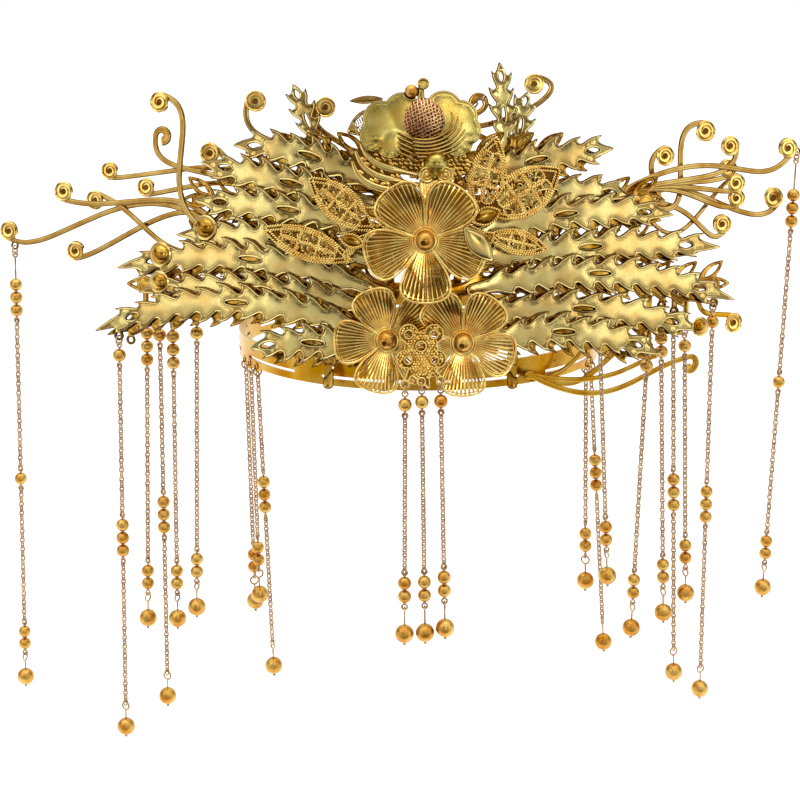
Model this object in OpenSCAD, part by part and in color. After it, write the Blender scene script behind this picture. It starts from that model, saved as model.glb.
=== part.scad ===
// Phoenix crown: a head band carries a curved fan of flame plates, curled strips, wire flowers,
// pierced leaves and a front-facing bird, and 21 beaded strands hang from it.
// The crown's front faces -Y. The origin is the middle of the band's lower edge.

/* [Head band] */
// Outer radius of the head band
band_r = 72; // [68:1:76]
// Height of the head band
band_h = 10; // [9:0.5:12]
// Wall of the head band
band_wall = 1.2; // [1:0.1:1.6]
// Height of the strip under the band's windows
band_strip = 2.6; // [2.2:0.1:3]
// Height of the band's windows
window_h = 1.2; // [0.8:0.1:1.6]

/* [Fan] */
// Radius of the curved fan behind the plates
fan_r = 200; // [190:2:220]
// Reach of the longest plate to one side
fan_reach = 122; // [118:1:128]
// Height that the fan's rows are spread over
fan_h = 120; // [116:1:128]
// Backward lean of the fan in degrees
fan_lean = 8; // [6:1:10]
// Thickness of the fan's bars and posts
bar_t = 1.2; // [1:0.1:1.4]
// Height of the fan's bars
bar_h = 4; // [3.5:0.1:4.5]
// Width of the fan's posts
post_w = 3; // [2.6:0.1:3.4]

/* [Plates] */
// Thickness of a sheet plate
plate_t = 0.8; // [0.6:0.05:0.9]
// Distance from one layer of plates to the next
layer_step = 1.8; // [1.7:0.05:2]
// Radius of the pins that hold the plates
stem_r = 1.1; // [0.9:0.05:1.2]
// Clear gap between a fitted piece and what carries it
fit_gap = 0.12; // [0.1:0.01:0.16]
// Width of a flame plate's smooth spine
spine_w = 7; // [6.4:0.1:7.4]
// How far the longest flame tongues stand out
tongue_h = 4; // [3.4:0.1:4.2]
// Distance between the flame tongues
tongue_pitch = 8; // [7.6:0.1:9]

/* [Curls] */
// Width of a curled strip
strip_w = 1.9; // [1.6:0.05:2]
// Thickness of a curled strip
strip_t = 0.7; // [0.5:0.05:0.75]
// Radius of a curl's turn, at the middle of its strip
curl_r = 2.5; // [2.3:0.05:2.6]

/* [Flowers and leaves] */
// Radius of the middle flower
flower_r = 22; // [20:0.5:23]
// Radius of the two low flowers
low_flower_r = 19; // [17.5:0.5:19.5]
// Radius of the petals' bowl
bowl_r = 90; // [80:5:120]
// Radius of a flower's middle bead
heart_r = 3.4; // [3:0.1:3.8]
// Width of a pierced leaf's border
border_w = 1.5; // [1.2:0.1:1.7]

/* [Strands] */
// Diameter of a small bead
bead_d = 5; // [4.5:0.1:5.1]
// Diameter of a big bead
drop_d = 7; // [6.5:0.1:7.1]
// Diameter of the hole through a bead
bead_hole_d = 1; // [0.9:0.05:1.3]
// Diameter of the wire of rings and pins
wire_d = 0.7; // [0.6:0.05:0.75]
// Radius of a hanging ring, at the middle of its wire
ring_r = 1.7; // [1.6:0.05:1.9]
// Radius of a pin's eye, at the middle of its wire
eye_r = 1; // [0.95:0.05:1.1]
// Radius of the eye over a big bead
drop_eye_r = 1.6; // [1.4:0.05:1.8]
// Width of the chain
chain_w = 2.3; // [2:0.1:2.4]
// Length that the chains are measured in
chain_run = 60; // [56:1:64]

/* [Hidden] */
$fn = 48;
SHELL_FN = 360;
TORUS_FN = 24;
PUNCH_FN = 8;

// The fan's middle line stands this far in front of the band
fan_ahead = 1;
// Radius of the innermost layer of plates
first_layer_r = fan_r + 3;

// Places of the posts, as shares of the reach: outer ones, and those behind the three flowers
outer_post = 0.279;
left_post = -0.09;
middle_post = 0.011;
right_post = 0.111;
POSTS = [
    // across, top
    [-outer_post, 0.767], [left_post, 0.86], [middle_post, 0.86],
    [right_post, 0.86], [outer_post, 0.767]];
BARS = [
    // height, left end, right end
    [0.317, -0.885, 0.945], [0.45, -0.7, 0.7], [0.583, -0.7, 0.72], [0.717, -0.42, 0.42]];

// Flame plates, from the top down. Across and height are shares of fan_reach and fan_h, the
// arch is a share of the plate's length, and the pin sits that many millimetres over its spine.
flame_root = 0.148;
FLAMES_LEFT = [
    // root height, tip across, tip height, arch, pin
    [0.632, 0.565, 0.751, 0.077, 0], [0.576, 0.667, 0.7, 0.005, 0],
    [0.503, 0.686, 0.581, 0.03, 0], [0.406, 0.743, 0.476, 0.041, 0],
    [0.318, 0.937, 0.37, 0.081, 0.5], [0.262, 0.865, 0.298, 0.049, -1.5],
    [0.192, 1.01, 0.171, 0.107, -1], [0.125, 0.509, 0.135, 0.08, -1]];
FLAMES_RIGHT = [
    // root height, tip across, tip height, arch, pin
    [0.65, 0.585, 0.742, 0.03, 0], [0.54, 0.648, 0.593, 0.085, 0],
    [0.477, 0.776, 0.537, 0.06, 0], [0.405, 0.932, 0.436, 0.03, 0],
    [0.316, 0.981, 0.268, 0.082, 0], [0.238, 0.873, 0.176, 0.065, 0],
    [0.15, 0.734, 0.108, 0.1, 0]];
FLAMES_TOP = [
    // root across, root height, tip across, tip height, steps behind the fan
    [-0.31, 0.73, -0.384, 0.935, 0], [0.25, 0.71, 0.235, 1, 0], [0.29, 0.72, 0.32, 0.912, 1]];
// One tongue: how far along in pitches, how far out in tongue heights
TONGUE = [
    // along, out
    [0, 0], [0.16, 0.18], [0.36, 0.5], [0.62, 0.82], [1.04, 1], [0.97, 0.76], [0.86, 0.46],
    [0.88, 0.14]];
// Round bosses on the plates
BOSSES = [
    // node, across, height, layer, size
    ["flame_left_4", -0.65, 0.498, 3, 1], ["flame_left_5", -0.792, 0.415, 4, 1],
    ["flame_left_6", -0.795, 0.33, 5, 0.9], ["flame_right_6", 0.86, 0.19, 5, 0.8]];

// Curls. Across and height are shares of fan_reach and fan_h, headings are in degrees from +X
// towards +Z, pulls are shares of the way, and a curl turns left (1), right (-1) or not (0).
CURLS_LEFT_HIGH = [
    // across, height, first heading, last heading, first pull, last pull, turn, size
    [-0.305, 0.782, 154, 80, 0.5, 0.36, -1, 1.15],
    [-0.147, 0.729, 130, 140, 0.35, 0.3, 1, 1.3],
    [-0.495, 0.674, 132, 178, 0.34, 0.33, -1, 1], [-0.373, 0.621, 165, 185, 0.47, 0.38, -1, 1.05]];
CURLS_LEFT_FAR = [
    // across, height, first heading, last heading, first pull, last pull, turn, size
    [-0.574, 0.608, 120, 164, 0.44, 0.38, -1, 1.25], [-0.466, 0.582, 204, 162, 0.56, 0.41, 1, 1.1],
    [-0.79, 0.481, 137, 150, 0.55, 0.25, -1, 1.2], [-0.547, 0.418, 123, 192, 0.47, 0.32, -1, 1.2]];
CURLS_RIGHT_HIGH = [
    // across, height, first heading, last heading, first pull, last pull, turn, size
    [0.628, 0.748, 30, 50, 0.7, 0.32, 1, 1.25], [0.427, 0.753, 26, 95, 0.45, 0.3, 1, 1.2],
    [0.423, 0.681, 28, 20, 0.4, 0.3, 1, 1.15], [0.457, 0.636, 20, 12, 0.56, 0.2, 1, 1.2],
    [0.466, 0.587, 19, 20, 0.65, 0.25, 1, 1.1]];
CURLS_RIGHT_FAR = [
    // across, height, first heading, last heading, first pull, last pull, turn, size
    [0.069, 0.722, -5, 30, 0.75, 0.7, -1, 1.25], [0.214, 0.801, -23, -5, 0.84, 0.6, -1, 1.35],
    [0.47, 0.591, 50, 60, 0.4, 0.35, 1, 1.3], [0.288, 0.505, 5, 50, 0.7, 0.38, 1, 1.2],
    [0.354, 0.66, -58, 10, 0.8, 0.35, 0, 0.8]];
CURLS_TOP_LEFT = [
    // across, height, first heading, last heading, first pull, last pull, turn, size
    [-0.312, 0.885, 165, 70, 0.4, 0.45, -1, 1.25], [-0.1, 0.866, 135, 60, 0.45, 0.5, -1, 1.2]];
CURLS_TOP_RIGHT = [
    // across, height, first heading, last heading, first pull, last pull, turn, size
    [0.234, 0.937, -15, 170, 0.4, 0.6, 1, 1.15], [0.066, 0.879, 60, 60, 0.3, 0.3, 1, 1.15],
    [0.201, 0.774, -20, 10, 0.4, 0.4, 1, 1]];
CURL_LOW_RIGHT = [
    // across, height, first heading, last heading, first pull, last pull, turn, size
    [0.153, 0.186, -80, -5, 0.6, 0.7, -1, 1.25]];
// A strip that stands on the fourth left plate, and where it starts
plate_strip_from = [-0.656, 0.495];
CURL_ON_PLATE = [
    // across, height, first heading, last heading, first pull, last pull, turn, size
    [-0.135, 0.884, 146, 165, 0.5, 0.4, 1, 1.2]];
// Arms of the band: height counts from the band's lower edge
BAND_ARMS = [
    // across, height, first heading, last heading, first pull, last pull, turn, size
    [0.595, 0.007, -30, 5, 0.6, 0.35, -1, 1.25], [0.471, 0.046, -16, 10, 0.65, 0.2, 0, 1],
    [0.325, 0.078, -20, 41, 0.47, 0.6, 0, 1.2], [0.237, 0.126, -25, 53, 0.24, 0.7, 0, 1]];

// Pierced leaves and plain pointed plates on them, in shares of fan_reach and fan_h.
// A leaf's width is a share of its length.
LEAVES_LEFT = [
    // base across, base height, tip across, tip height, width
    [-0.14, 0.492, -0.328, 0.65, 0.44], [-0.2, 0.405, -0.469, 0.501, 0.34]];
LEAVES_RIGHT = [
    // base across, base height, tip across, tip height, width
    [0.165, 0.535, 0.221, 0.771, 0.47], [0.2, 0.535, 0.408, 0.677, 0.56],
    [0.19, 0.482, 0.375, 0.436, 0.4]];
SEEDS_LEFT = [
    // base across, base height, tip across, tip height, width
    [-0.165, 0.452, -0.24, 0.475, 0.52], [-0.115, 0.53, -0.165, 0.56, 0.55]];
SEEDS_RIGHT = [
    // base across, base height, tip across, tip height, width
    [0.15, 0.52, 0.232, 0.553, 0.6], [0.125, 0.425, 0.214, 0.486, 0.52]];

// One petal: how far out, and half its width, as shares of its length
PETAL = [
    // out, half width
    [0.1, 0.05], [0.3, 0.2], [0.5, 0.33], [0.7, 0.4], [0.86, 0.38], [0.96, 0.26], [1, 0.1]];

// Strands. A strand from the fan hangs at a share of fan_reach and fan_h, one from the band
// at an angle from its front. Chains are in lengths of chain_run, the lean is in degrees.
STRANDS_FAN = [
    // name, across, height, lean, top beads, chain, middle beads, chain, low beads
    ["left_3", -0.855, 0.2225, -1.5, 3, 1.238, 0, 0, 2],
    ["left_4", -0.813, 0.219, -0.4, 1, 0.923, 3, 0.9, 0],
    ["left_5", -0.769, 0.216, -0.6, 3, 1.205, 0, 0, 2],
    ["left_6", -0.69, 0.23, -1.35, 1, 1.31, 0, 0, 2],
    ["right_3", 0.548, 0.233, 3.1, 0, 1.234, 0, 0, 2],
    ["right_4", 0.706, 0.126, -1.6, 1, 1.24, 0, 0, 2],
    ["right_5", 0.748, 0.253, 2.2, 3, 1.237, 0, 0, 2],
    ["right_6", 0.79, 0.233, 1.9, 0, 0.95, 3, 0.88, 0],
    ["right_7", 0.829, 0.184, 2.1, 1, 1.15, 0, 0, 2],
    ["right_8", 0.926, 0.256, 0.2, 1, 0.953, 3, 0.935, 0]];
STRANDS_PLATE = [
    // name, across, height, lean, top beads, chain, middle beads, chain, low beads, plate, layer
    ["left_2", -0.93, 0.16, -0.9, 1, 0.935, 3, 0.945, 0, "flame_left_7", 6]];
STRANDS_BAND = [
    // name, angle, lean, top beads, chain, middle beads, chain, low beads
    ["left_9", -61.3, 2.1, 0, 0.617, 3, 0.835, 0],
    ["left_7", -66.8, 1.2, 0, 1.1, 0, 0, 2],
    ["left_8", -72.3, 1.15, 0, 1.183, 0, 0, 2],
    ["right_1", 65, 1.1, 0, 0.992, 0, 0, 2],
    ["right_2", 69.6, 3.9, 0, 0.515, 3, 0.83, 0]];
STRANDS_MIDDLE = [
    // name, across in millimetres, height, lean, chain
    ["middle_1", -5.7, 5, -0.1, 0.935], ["middle_2", 0.2, 6, 0.9, 0.945],
    ["middle_3", 6.9, 6.3, 1.3, 0.92]];
// The two strands on the far curls: length of the shank over their top beads, lean and chains
far_left_shank = 8;
far_right_shank = 9.2;
far_left_lean = -1.2;
far_right_lean = -1.8;
FAR_LEFT_CHAINS = [0.969, 0.907];
FAR_RIGHT_CHAINS = [0.888, 0.92];

function numbered(word, count) = [for (i = [1:count]) str(word, "_", i)];

// Plane geometry
function unit(v) = v / norm(v);
function left_of(v) = [-v[1], v[0]];
function heading(a) = [cos(a), sin(a)];
function quad(a, b, c, t) = (1 - t) * (1 - t) * a + 2 * t * (1 - t) * b + t * t * c;
function quad_way(a, b, c, t) = unit((1 - t) * (b - a) + t * (c - b));
function cubic(a, b, c, d, t) =
    pow(1 - t, 3) * a + 3 * t * pow(1 - t, 2) * b + 3 * t * t * (1 - t) * c + pow(t, 3) * d;
function in_fan(across, height) = [across * fan_reach, height * fan_h];
function layer_r(layer) = first_layer_r + layer * layer_step;

// A strip's outline along a middle line, with half its width at each point
function ribbon(line, half) =
    let (
        last = len(line) - 1,
        side = [for (i = [0:last])
            left_of(unit(line[min(i + 1, last)] - line[max(i - 1, 0)])) * half[i]]
    )
    concat([for (i = [0:last]) line[i] + side[i]], [for (i = [last:-1:0]) line[i] - side[i]]);

// A pointed oval from base to tip, half as many points again for its other side
function oval_half(t, width) = width / 2 * pow(sin(180 * t), 0.8);
function oval(base, tip, width, steps = 8) =
    let (way = tip - base, side = left_of(unit(way)))
    concat(
        [for (i = [0:steps]) let (t = i / steps) base + way * t + side * oval_half(t, width)],
        [for (i = [steps - 1:-1:1])
            let (t = i / steps) base + way * t - side * oval_half(t, width)]);

// One gap of a pierced leaf, between its midrib and its border
function leaf_gap(base, tip, width, side_sign, t0, t1, rib) =
    let (way = tip - base, side = left_of(unit(way)) * side_sign, mid = (t0 + t1) / 2)
    concat(
        [for (t = [t0, t1]) base + way * t + side * rib],
        [for (t = [t1, mid, t0])
            base + way * t + side * max(rib + 0.4, oval_half(t, width) - border_w)]);

// Paths that cut the loops after the first out of the first one
function loop_paths(loops, from = 0, i = 0) =
    i >= len(loops) ? []
    : concat([[for (k = [0:len(loops[i]) - 1]) from + k]],
        loop_paths(loops, from + len(loops[i]), i + 1));
function joined(loops) = [for (loop = loops) for (p = loop) p];
module pierced(loops) {
    polygon(joined(loops), paths = loop_paths(loops));
}

// Frames: the fan stands in front of the band and leans back, its axis is upright in it
module fan() {
    translate([0, -band_r - fan_ahead, 0]) rotate([-fan_lean, 0, 0])
        translate([0, fan_r, 0]) children();
}
function fan_point(x, w, r) =
    let (y = fan_r - sqrt(r * r - x * x))
    [x, -band_r - fan_ahead + y * cos(fan_lean) + w * sin(fan_lean),
     w * cos(fan_lean) - y * sin(fan_lean)];
function fan_angle(x, r = fan_r) = asin(x / r);

module upright(depth) {
    rotate([90, 0, 0]) linear_extrude(depth) children();
}
// What a flat outline cuts out of a round sheet whose outer radius is r
module bent(r, t) {
    intersection() {
        difference() {
            translate([0, 0, -fan_h / 4]) cylinder(r = r, h = fan_h * 1.6, $fn = SHELL_FN);
            translate([0, 0, -fan_h / 4 - 1])
                cylinder(r = r - t, h = fan_h * 1.6 + 2, $fn = SHELL_FN);
        }
        upright(r + 5) children();
    }
}
// A pin from a plate at radius r back to the fan, or forward to it from behind
module stem(x, w, r, thick = stem_r) {
    rotate([0, 0, fan_angle(x)]) translate([0, -r + plate_t / 2, w]) rotate([-90, 0, 0])
        cylinder(r = thick, h = r - plate_t / 2 - fan_r - fit_gap);
}
module stem_behind(x, w, r, thick = stem_r) {
    inner = fan_r - bar_t - fit_gap;
    rotate([0, 0, fan_angle(x)]) translate([0, -inner, w]) rotate([-90, 0, 0])
        cylinder(r = thick, h = inner - r + plate_t / 2);
}

// Head band with windows, the fan's bars and posts, and eyelets for the strands
eyelet_r = 1.9;
eyelet_hole_r = 1;
function bar_low(i) = BARS[i][0] * fan_h - bar_h / 2;
module punch(r = eyelet_hole_r, depth = 6) {
    rotate([90, 0, 0]) cylinder(r = r, h = depth, center = true, $fn = PUNCH_FN);
}
module band_windows() {
    count = 10;
    share = 0.72;
    for (i = [0:count - 1]) rotate([0, 0, (i + 0.5 - share / 2) * 360 / count - 90])
        rotate_extrude(angle = share * 360 / count)
            translate([band_r - band_wall - 1, band_strip])
                square([band_wall + 2, window_h]);
}
module band() {
    punches = 20;
    punch_z = (band_strip + window_h + band_h) / 2;
    difference() {
        union() {
            difference() {
                cylinder(r = band_r, h = band_h, $fn = SHELL_FN);
                translate([0, 0, -1])
                    cylinder(r = band_r - band_wall, h = band_h + 2, $fn = SHELL_FN);
            }
            for (row = STRANDS_BAND) rotate([0, 0, row[1]])
                translate([0, -band_r + band_wall / 2, 0.3]) rotate([90, 0, 0])
                    cylinder(r = eyelet_r, h = band_wall + 0.6, center = true);
        }
        band_windows();
        for (row = STRANDS_BAND) rotate([0, 0, row[1]])
            translate([0, -band_r, 0.3]) punch();
        for (i = [0:punches - 1]) rotate([0, 0, (i + 0.5) * 360 / punches])
            translate([0, -band_r, punch_z]) punch(0.7);
    }
}
// Pierced leaves along the bars fill the gaps between the plates
sprig_l = 14;
sprig_w = 5.6;
sprig_pitch = 11;
sprig_turn = 38;
module sprig(at, turn) {
    way = heading(turn) * sprig_l;
    difference() {
        polygon(oval(at, at + way, sprig_w, 5));
        polygon(oval(at + 0.3 * way, at + 0.86 * way, sprig_w * 0.42, 3));
    }
}
module sprigs(bar, sides) {
    for (side = [-1, 1]) {
        run = abs(side < 0 ? bar[1] : bar[2]) * fan_reach - sprig_l * 0.7;
        for (k = [0:floor(run / sprig_pitch)]) for (up = sides) {
            x = run - (k + (up > 0 ? 0 : 0.5)) * sprig_pitch;
            if (x > 2) sprig([side * x, bar[0] * fan_h], 90 - side * (90 - up * sprig_turn));
        }
        sprig([side * run, bar[0] * fan_h], 90 - side * 90);
    }
}
module fan_lattice() {
    half_bar = bar_h / 2;
    for (i = [0:len(BARS) - 1]) sprigs(BARS[i], i == 0 ? [1] : [1, -1]);
    for (bar = BARS)
        translate([bar[1] * fan_reach, bar[0] * fan_h - half_bar])
            square([(bar[2] - bar[1]) * fan_reach, bar_h]);
    for (post = POSTS)
        translate([post[0] * fan_reach - post_w / 2, 1])
            square([post_w, post[1] * fan_h]);
    for (row = STRANDS_FAN) {
        translate(in_fan(row[1], row[2])) circle(r = eyelet_r);
        translate(in_fan(row[1], row[2]) - [1.2, 0])
            square([2.4, bar_low(0) + half_bar - row[2] * fan_h]);
    }
}
function fan_front(x) = -band_r - fan_ahead + fan_r - sqrt(fan_r * fan_r - x * x);
function band_front(x) = -sqrt(band_r * band_r - x * x);
module foot(across) {
    x = across * fan_reach;
    low = band_strip + window_h + 0.8;
    high = band_h - 1;
    front = fan_front(x) + low * tan(fan_lean) + 0.15 * bar_t;
    back = band_front(x) + band_wall / 2;
    translate([x - post_w / 2, front, low]) cube([post_w, back - front, high - low]);
}
module crown_frame() {
    color("goldenrod") union() {
        band();
        fan() difference() {
            bent(fan_r, bar_t) fan_lattice();
            for (row = STRANDS_FAN)
                rotate([0, 0, fan_angle(row[1] * fan_reach, fan_r)])
                    translate([0, -fan_r, row[2] * fan_h]) punch();
        }
        for (post = POSTS) foot(post[0]);
    }
}

// A flame plate: a smooth spine with hooked tongues on both sides and a forked tip
function flame_spine(root, tip, arch) =
    [root, (root + tip) / 2 + left_of(tip - root) * arch * (tip[0] < root[0] ? -2 : 2), tip];
function spine_point(spine, t, out) =
    quad(spine[0], spine[1], spine[2], t)
    + left_of(quad_way(spine[0], spine[1], spine[2], t)) * out;
function spine_half(t) = spine_w / 2 * (0.45 + 0.55 * pow(sin(15 + 160 * t), 0.7));
function tongue_reach(t) = tongue_h * (0.45 + 0.55 * sin(min(170, 180 * t + 15)));
// The share of the way along a spine where it stands across from x
function spine_share(spine, x, low = 0, high = 1, step = 0) =
    let (t = (low + high) / 2, past = abs(spine_point(spine, t, 0)[0]) > abs(x))
    step > 20 ? t
    : past ? spine_share(spine, x, low, t, step + 1)
    : spine_share(spine, x, t, high, step + 1);
function flame_side(spine, size, count, shift, side_sign) =
    let (
        length = norm(spine[2] - spine[0]),
        pitch = 0.86 * length / (count + shift),
        first = 0.06 * length + shift * pitch / 2
    )
    [for (k = [0:count - 1]) for (p = TONGUE)
        let (
            t = (first + (k + p[0]) * pitch) / length,
            base_t = (first + k * pitch) / length,
            big = (k + (side_sign > 0 ? 0 : 1)) % 3 == 1 ? 0.74 : 1
        )
        spine_point(spine, t,
            side_sign * size * (spine_half(t) + tongue_reach(base_t) * big * p[1]))];
function reversed(list) = [for (i = [len(list) - 1:-1:0]) list[i]];
function flame_hole(spine, size, t, length, width) =
    oval(spine_point(spine, t - length / 2, 0), spine_point(spine, t + length / 2, 0),
        width * size, 4);
function flame_loops(root, tip, arch, size = 1) =
    let (
        spine = flame_spine(root, tip, arch),
        length = norm(tip - root),
        count = max(3, round(0.86 * length / (tongue_pitch * size))),
        butt = 2.2 / length,
        half = spine_half(0) * size,
        edge = concat(
            [spine_point(spine, -butt, -0.5 * half), spine_point(spine, -butt, 0.5 * half),
             spine_point(spine, -butt / 2, 0.9 * half)],
            flame_side(spine, size, count, 0, 1),
            [spine_point(spine, 0.93, 0.75 * half), spine_point(spine, 1, 0),
             spine_point(spine, 0.94, -0.75 * half)],
            reversed(flame_side(spine, size, count, 0.5, -1)),
            [spine_point(spine, -butt / 2, -0.9 * half)])
    )
    [edge, flame_hole(spine, size, 0.85, 5 * size / length, 2),
     flame_hole(spine, size, 0.46, 8 * size / length, 1.4)];
module boss(x, w, r, size) {
    base = 4.1 * size;
    rise = 2.3 * size;
    ball = (base * base + rise * rise) / (2 * rise);
    rotate([0, 0, fan_angle(x, r)]) translate([0, -r + plate_t / 2, w]) rotate([90, 0, 0])
        rotate_extrude() intersection() {
            translate([0, rise - ball]) circle(r = ball);
            square([base + 1, rise + 1]);
        }
}
module flame_plate(row, side, layer, name) {
    r = layer_r(layer);
    root = [side * flame_root * fan_reach * r / fan_r, row[0] * fan_h];
    tip = in_fan(side * row[1], row[2]);
    x = side * outer_post * fan_reach;
    spine = flame_spine(root, tip, row[3]);
    pin_w = spine_point(spine, spine_share(spine, x * r / fan_r), 0)[1] + row[4];
    color("darkkhaki") fan() {
        difference() {
            bent(r, plate_t) {
                pierced(flame_loops(root, tip, row[3]));
                for (t = STRANDS_PLATE) if (t[9] == name) {
                    translate(in_fan(t[1], t[2])) circle(r = eyelet_r);
                    link_strip(in_fan(t[1], t[2]), in_fan(t[1], t[2]) + [0, tongue_h * 1.8], 2.4);
                }
            }
            for (t = STRANDS_PLATE) if (t[9] == name)
                rotate([0, 0, fan_angle(t[1] * fan_reach, r)])
                    translate([0, -r, t[2] * fan_h]) punch();
        }
        stem(x, pin_w, r);
        for (b = BOSSES) if (b[0] == name) boss(b[1] * fan_reach, b[2] * fan_h, r, b[4]);
        if (name == "flame_left_4") {
            from = in_fan(plate_strip_from[0], plate_strip_from[1]);
            bent(r + strip_t, strip_t + 0.1) curl_shape(from, CURL_ON_PLATE[0]);
        }
    }
}
module flame_top(row) {
    r = fan_r - bar_t - 0.6 - row[4] * layer_step;
    root = in_fan(row[0], row[1]);
    tip = in_fan(row[2], row[3]);
    color("darkkhaki") fan() {
        bent(r, plate_t) pierced(flame_loops(root, tip, 0.02, 0.72));
        stem_behind(root[0], root[1], r, 0.9);
    }
}

// Curled strips: each runs in its own layer from a common rivet and rolls up into a closed curl
route_steps = 16;
function curl_line(from, row) =
    let (
        target = [from[0] + row[0] * fan_reach, row[1] * fan_h],
        turn = row[6],
        size = curl_r * sqrt(row[7]),
        out = row[3] - 90 * turn,
        meet = turn == 0 ? target : target + heading(out) * size,
        way = norm(meet - from),
        b = from + heading(row[2]) * row[4] * way,
        c = meet - heading(row[3]) * row[5] * way
    )
    concat(
        [for (i = [0:route_steps]) cubic(from, b, c, meet, i / route_steps)],
        turn == 0 ? []
        : [for (i = [1:13]) let (a = i * 20, r = size * (1 - 0.3 * a / 260))
            target + heading(out + turn * a) * r]);
function curl_half(row, i) =
    strip_w / 2 * sqrt(row[7]) * (i < route_steps ? 1 : 1 + 0.72 * min(1, (i - route_steps) / 10));
module curl_shape(from, row) {
    line = curl_line(from, row);
    polygon(ribbon(line, [for (i = [0:len(line) - 1]) curl_half(row, i)]));
}
layer_t = strip_t + 0.3;
module curled_strips(rows, from) {
    for (k = [0:len(rows) - 1]) translate([0, (k + 1) * layer_t - 0.3, 0])
        upright(strip_t) curl_shape(from, rows[k]);
}
// An eyelet on the strip, where it meets its curl or some points past that
tab_out = 1.7;
function tab_at(from, row, past) =
    let (
        line = curl_line(from, row),
        i = route_steps + past,
        way = unit(line[i + 1] - line[i - 1]),
        out = left_of(way) * -row[6]
    )
    line[i] + out * (strip_w / 2 * sqrt(row[7]) + tab_out - eyelet_hole_r);
rivet_r = 1.8;
// A spray behind the fan: hub across and height, radius of its front face, outward turn, and
// the strip that carries an eyelet, with the points past its meeting with the curl
module spray(rows, hub, r, yaw, tab = [-1, 0]) {
    side = hub[0] < 0 ? -1 : 1;
    x = hub[0] * fan_reach;
    hub_w = hub[1] * fan_h;
    color("gold") fan() {
        translate([x, -sqrt(r * r - x * x), 0]) rotate([0, 0, side * yaw]) {
            difference() {
                union() {
                    curled_strips(rows, [0, hub_w]);
                    if (tab[0] >= 0) tab_solid(rows, hub_w, tab, 0);
                }
                if (tab[0] >= 0) tab_solid(rows, hub_w, tab, 1);
            }
            translate([0, 0, hub_w]) rotate([-90, 0, 0])
                cylinder(r = rivet_r, h = len(rows) * layer_t - 0.3);
        }
        rotate([0, 0, fan_angle(x, r)]) translate([0, -fan_r + bar_t + fit_gap, hub_w])
            rotate([-90, 0, 0]) cylinder(r = rivet_r * 0.8, h = fan_r - bar_t - fit_gap - r + 1.2);
    }
}
module tab_solid(rows, hub_w, tab, hole) {
    place = tab_at([0, hub_w], rows[tab[0]], tab[1]);
    translate([place[0], (tab[0] + 1) * layer_t - 0.3, place[1]])
        if (hole > 0) punch();
        else upright(strip_t) circle(r = tab_out);
}
side_spray_r = fan_r - 2.4;
side_spray_yaw = 21;
left_yaw = 20;
left_far_yaw = 22;
module band_arms() {
    yaw = 27;
    root = [7, band_h * 0.42];
    color("gold") rotate([0, 0, yaw])
        translate([0, -band_r - fit_gap - len(BAND_ARMS) * layer_t + 0.3, 0]) {
            curled_strips(BAND_ARMS, root);
            translate([root[0], 0, root[1]]) rotate([-90, 0, 0])
                cylinder(r = rivet_r, h = len(BAND_ARMS) * layer_t - 0.3);
        }
}

// Flowers: petals cut out of a shallow bowl, with a bead in the middle
function petal_loops(length) =
    [concat([for (p = PETAL) [p[1], p[0]] * length],
            [for (p = reversed(PETAL)) [-p[1], p[0]] * length]),
     for (s = [-1, 1])
         oval([s * 0.05, 0.28] * length, [s * 0.2, 0.88] * length, 0.1 * length, 4)];
module flower(x, w, r, radius, turn) {
    petals = 5;
    reach = r + plate_t;
    color("orange") fan() {
        rotate([0, 0, fan_angle(x)]) translate([0, -r, w]) {
            intersection() {
                translate([0, -bowl_r, 0]) difference() {
                    sphere(r = bowl_r + plate_t, $fn = SHELL_FN / 2);
                    sphere(r = bowl_r, $fn = SHELL_FN / 2);
                }
                translate([0, 3, 0]) upright(12) union() {
                    for (k = [0:petals - 1]) rotate([0, 0, turn + k * 360 / petals])
                        pierced(petal_loops(radius));
                    circle(r = 0.18 * radius);
                }
            }
            translate([0, -heart_r * 0.7, 0]) sphere(r = heart_r);
            translate([0, plate_t / 2, 0]) rotate([-90, 0, 0])
                cylinder(r = stem_r, h = r - plate_t / 2 - fan_r - fit_gap);
        }
    }
}

// Pierced leaves with plain pointed plates, joined in one sheet
function leaf_loops(base, tip, width, bays = 3) =
    concat([oval(base, tip, width)],
        [for (s = [-1, 1]) for (k = [0:bays - 1])
            leaf_gap(base, tip, width, s, 0.2 + k * 0.62 / bays,
                0.2 + (k + 0.8) * 0.62 / bays, 0.5)]);
module leaf(row, bays = 3) {
    base = in_fan(row[0], row[1]);
    tip = in_fan(row[2], row[3]);
    pierced(leaf_loops(base, tip, row[4] * norm(tip - base), bays));
}
module seed(row) {
    base = in_fan(row[0], row[1]);
    tip = in_fan(row[2], row[3]);
    polygon(oval(base, tip, row[4] * norm(tip - base)));
}
module link_strip(a, b, width) {
    polygon(ribbon([a, b], [width / 2, width / 2]));
}
module filigree(leaves, seeds, post, height) {
    r = layer_r(7);
    hub = in_fan(post, height);
    hub_x = hub[0] * r / fan_r;
    color("orange") fan() {
        bent(r, plate_t) {
            for (row = leaves) {
                leaf(row);
                link_strip([hub_x, hub[1]], in_fan(row[0], row[1])
                    + 0.12 * (in_fan(row[2], row[3]) - in_fan(row[0], row[1])), 2);
            }
            for (row = seeds)
                link_strip([hub_x, hub[1]], in_fan((row[0] + row[2]) / 2, (row[1] + row[3]) / 2), 2);
            translate([hub_x, hub[1]]) circle(r = 2.2);
        }
        bent(r + plate_t, 2 * plate_t) for (row = seeds) seed(row);
        stem(hub[0], hub[1], r);
    }
}

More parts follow.
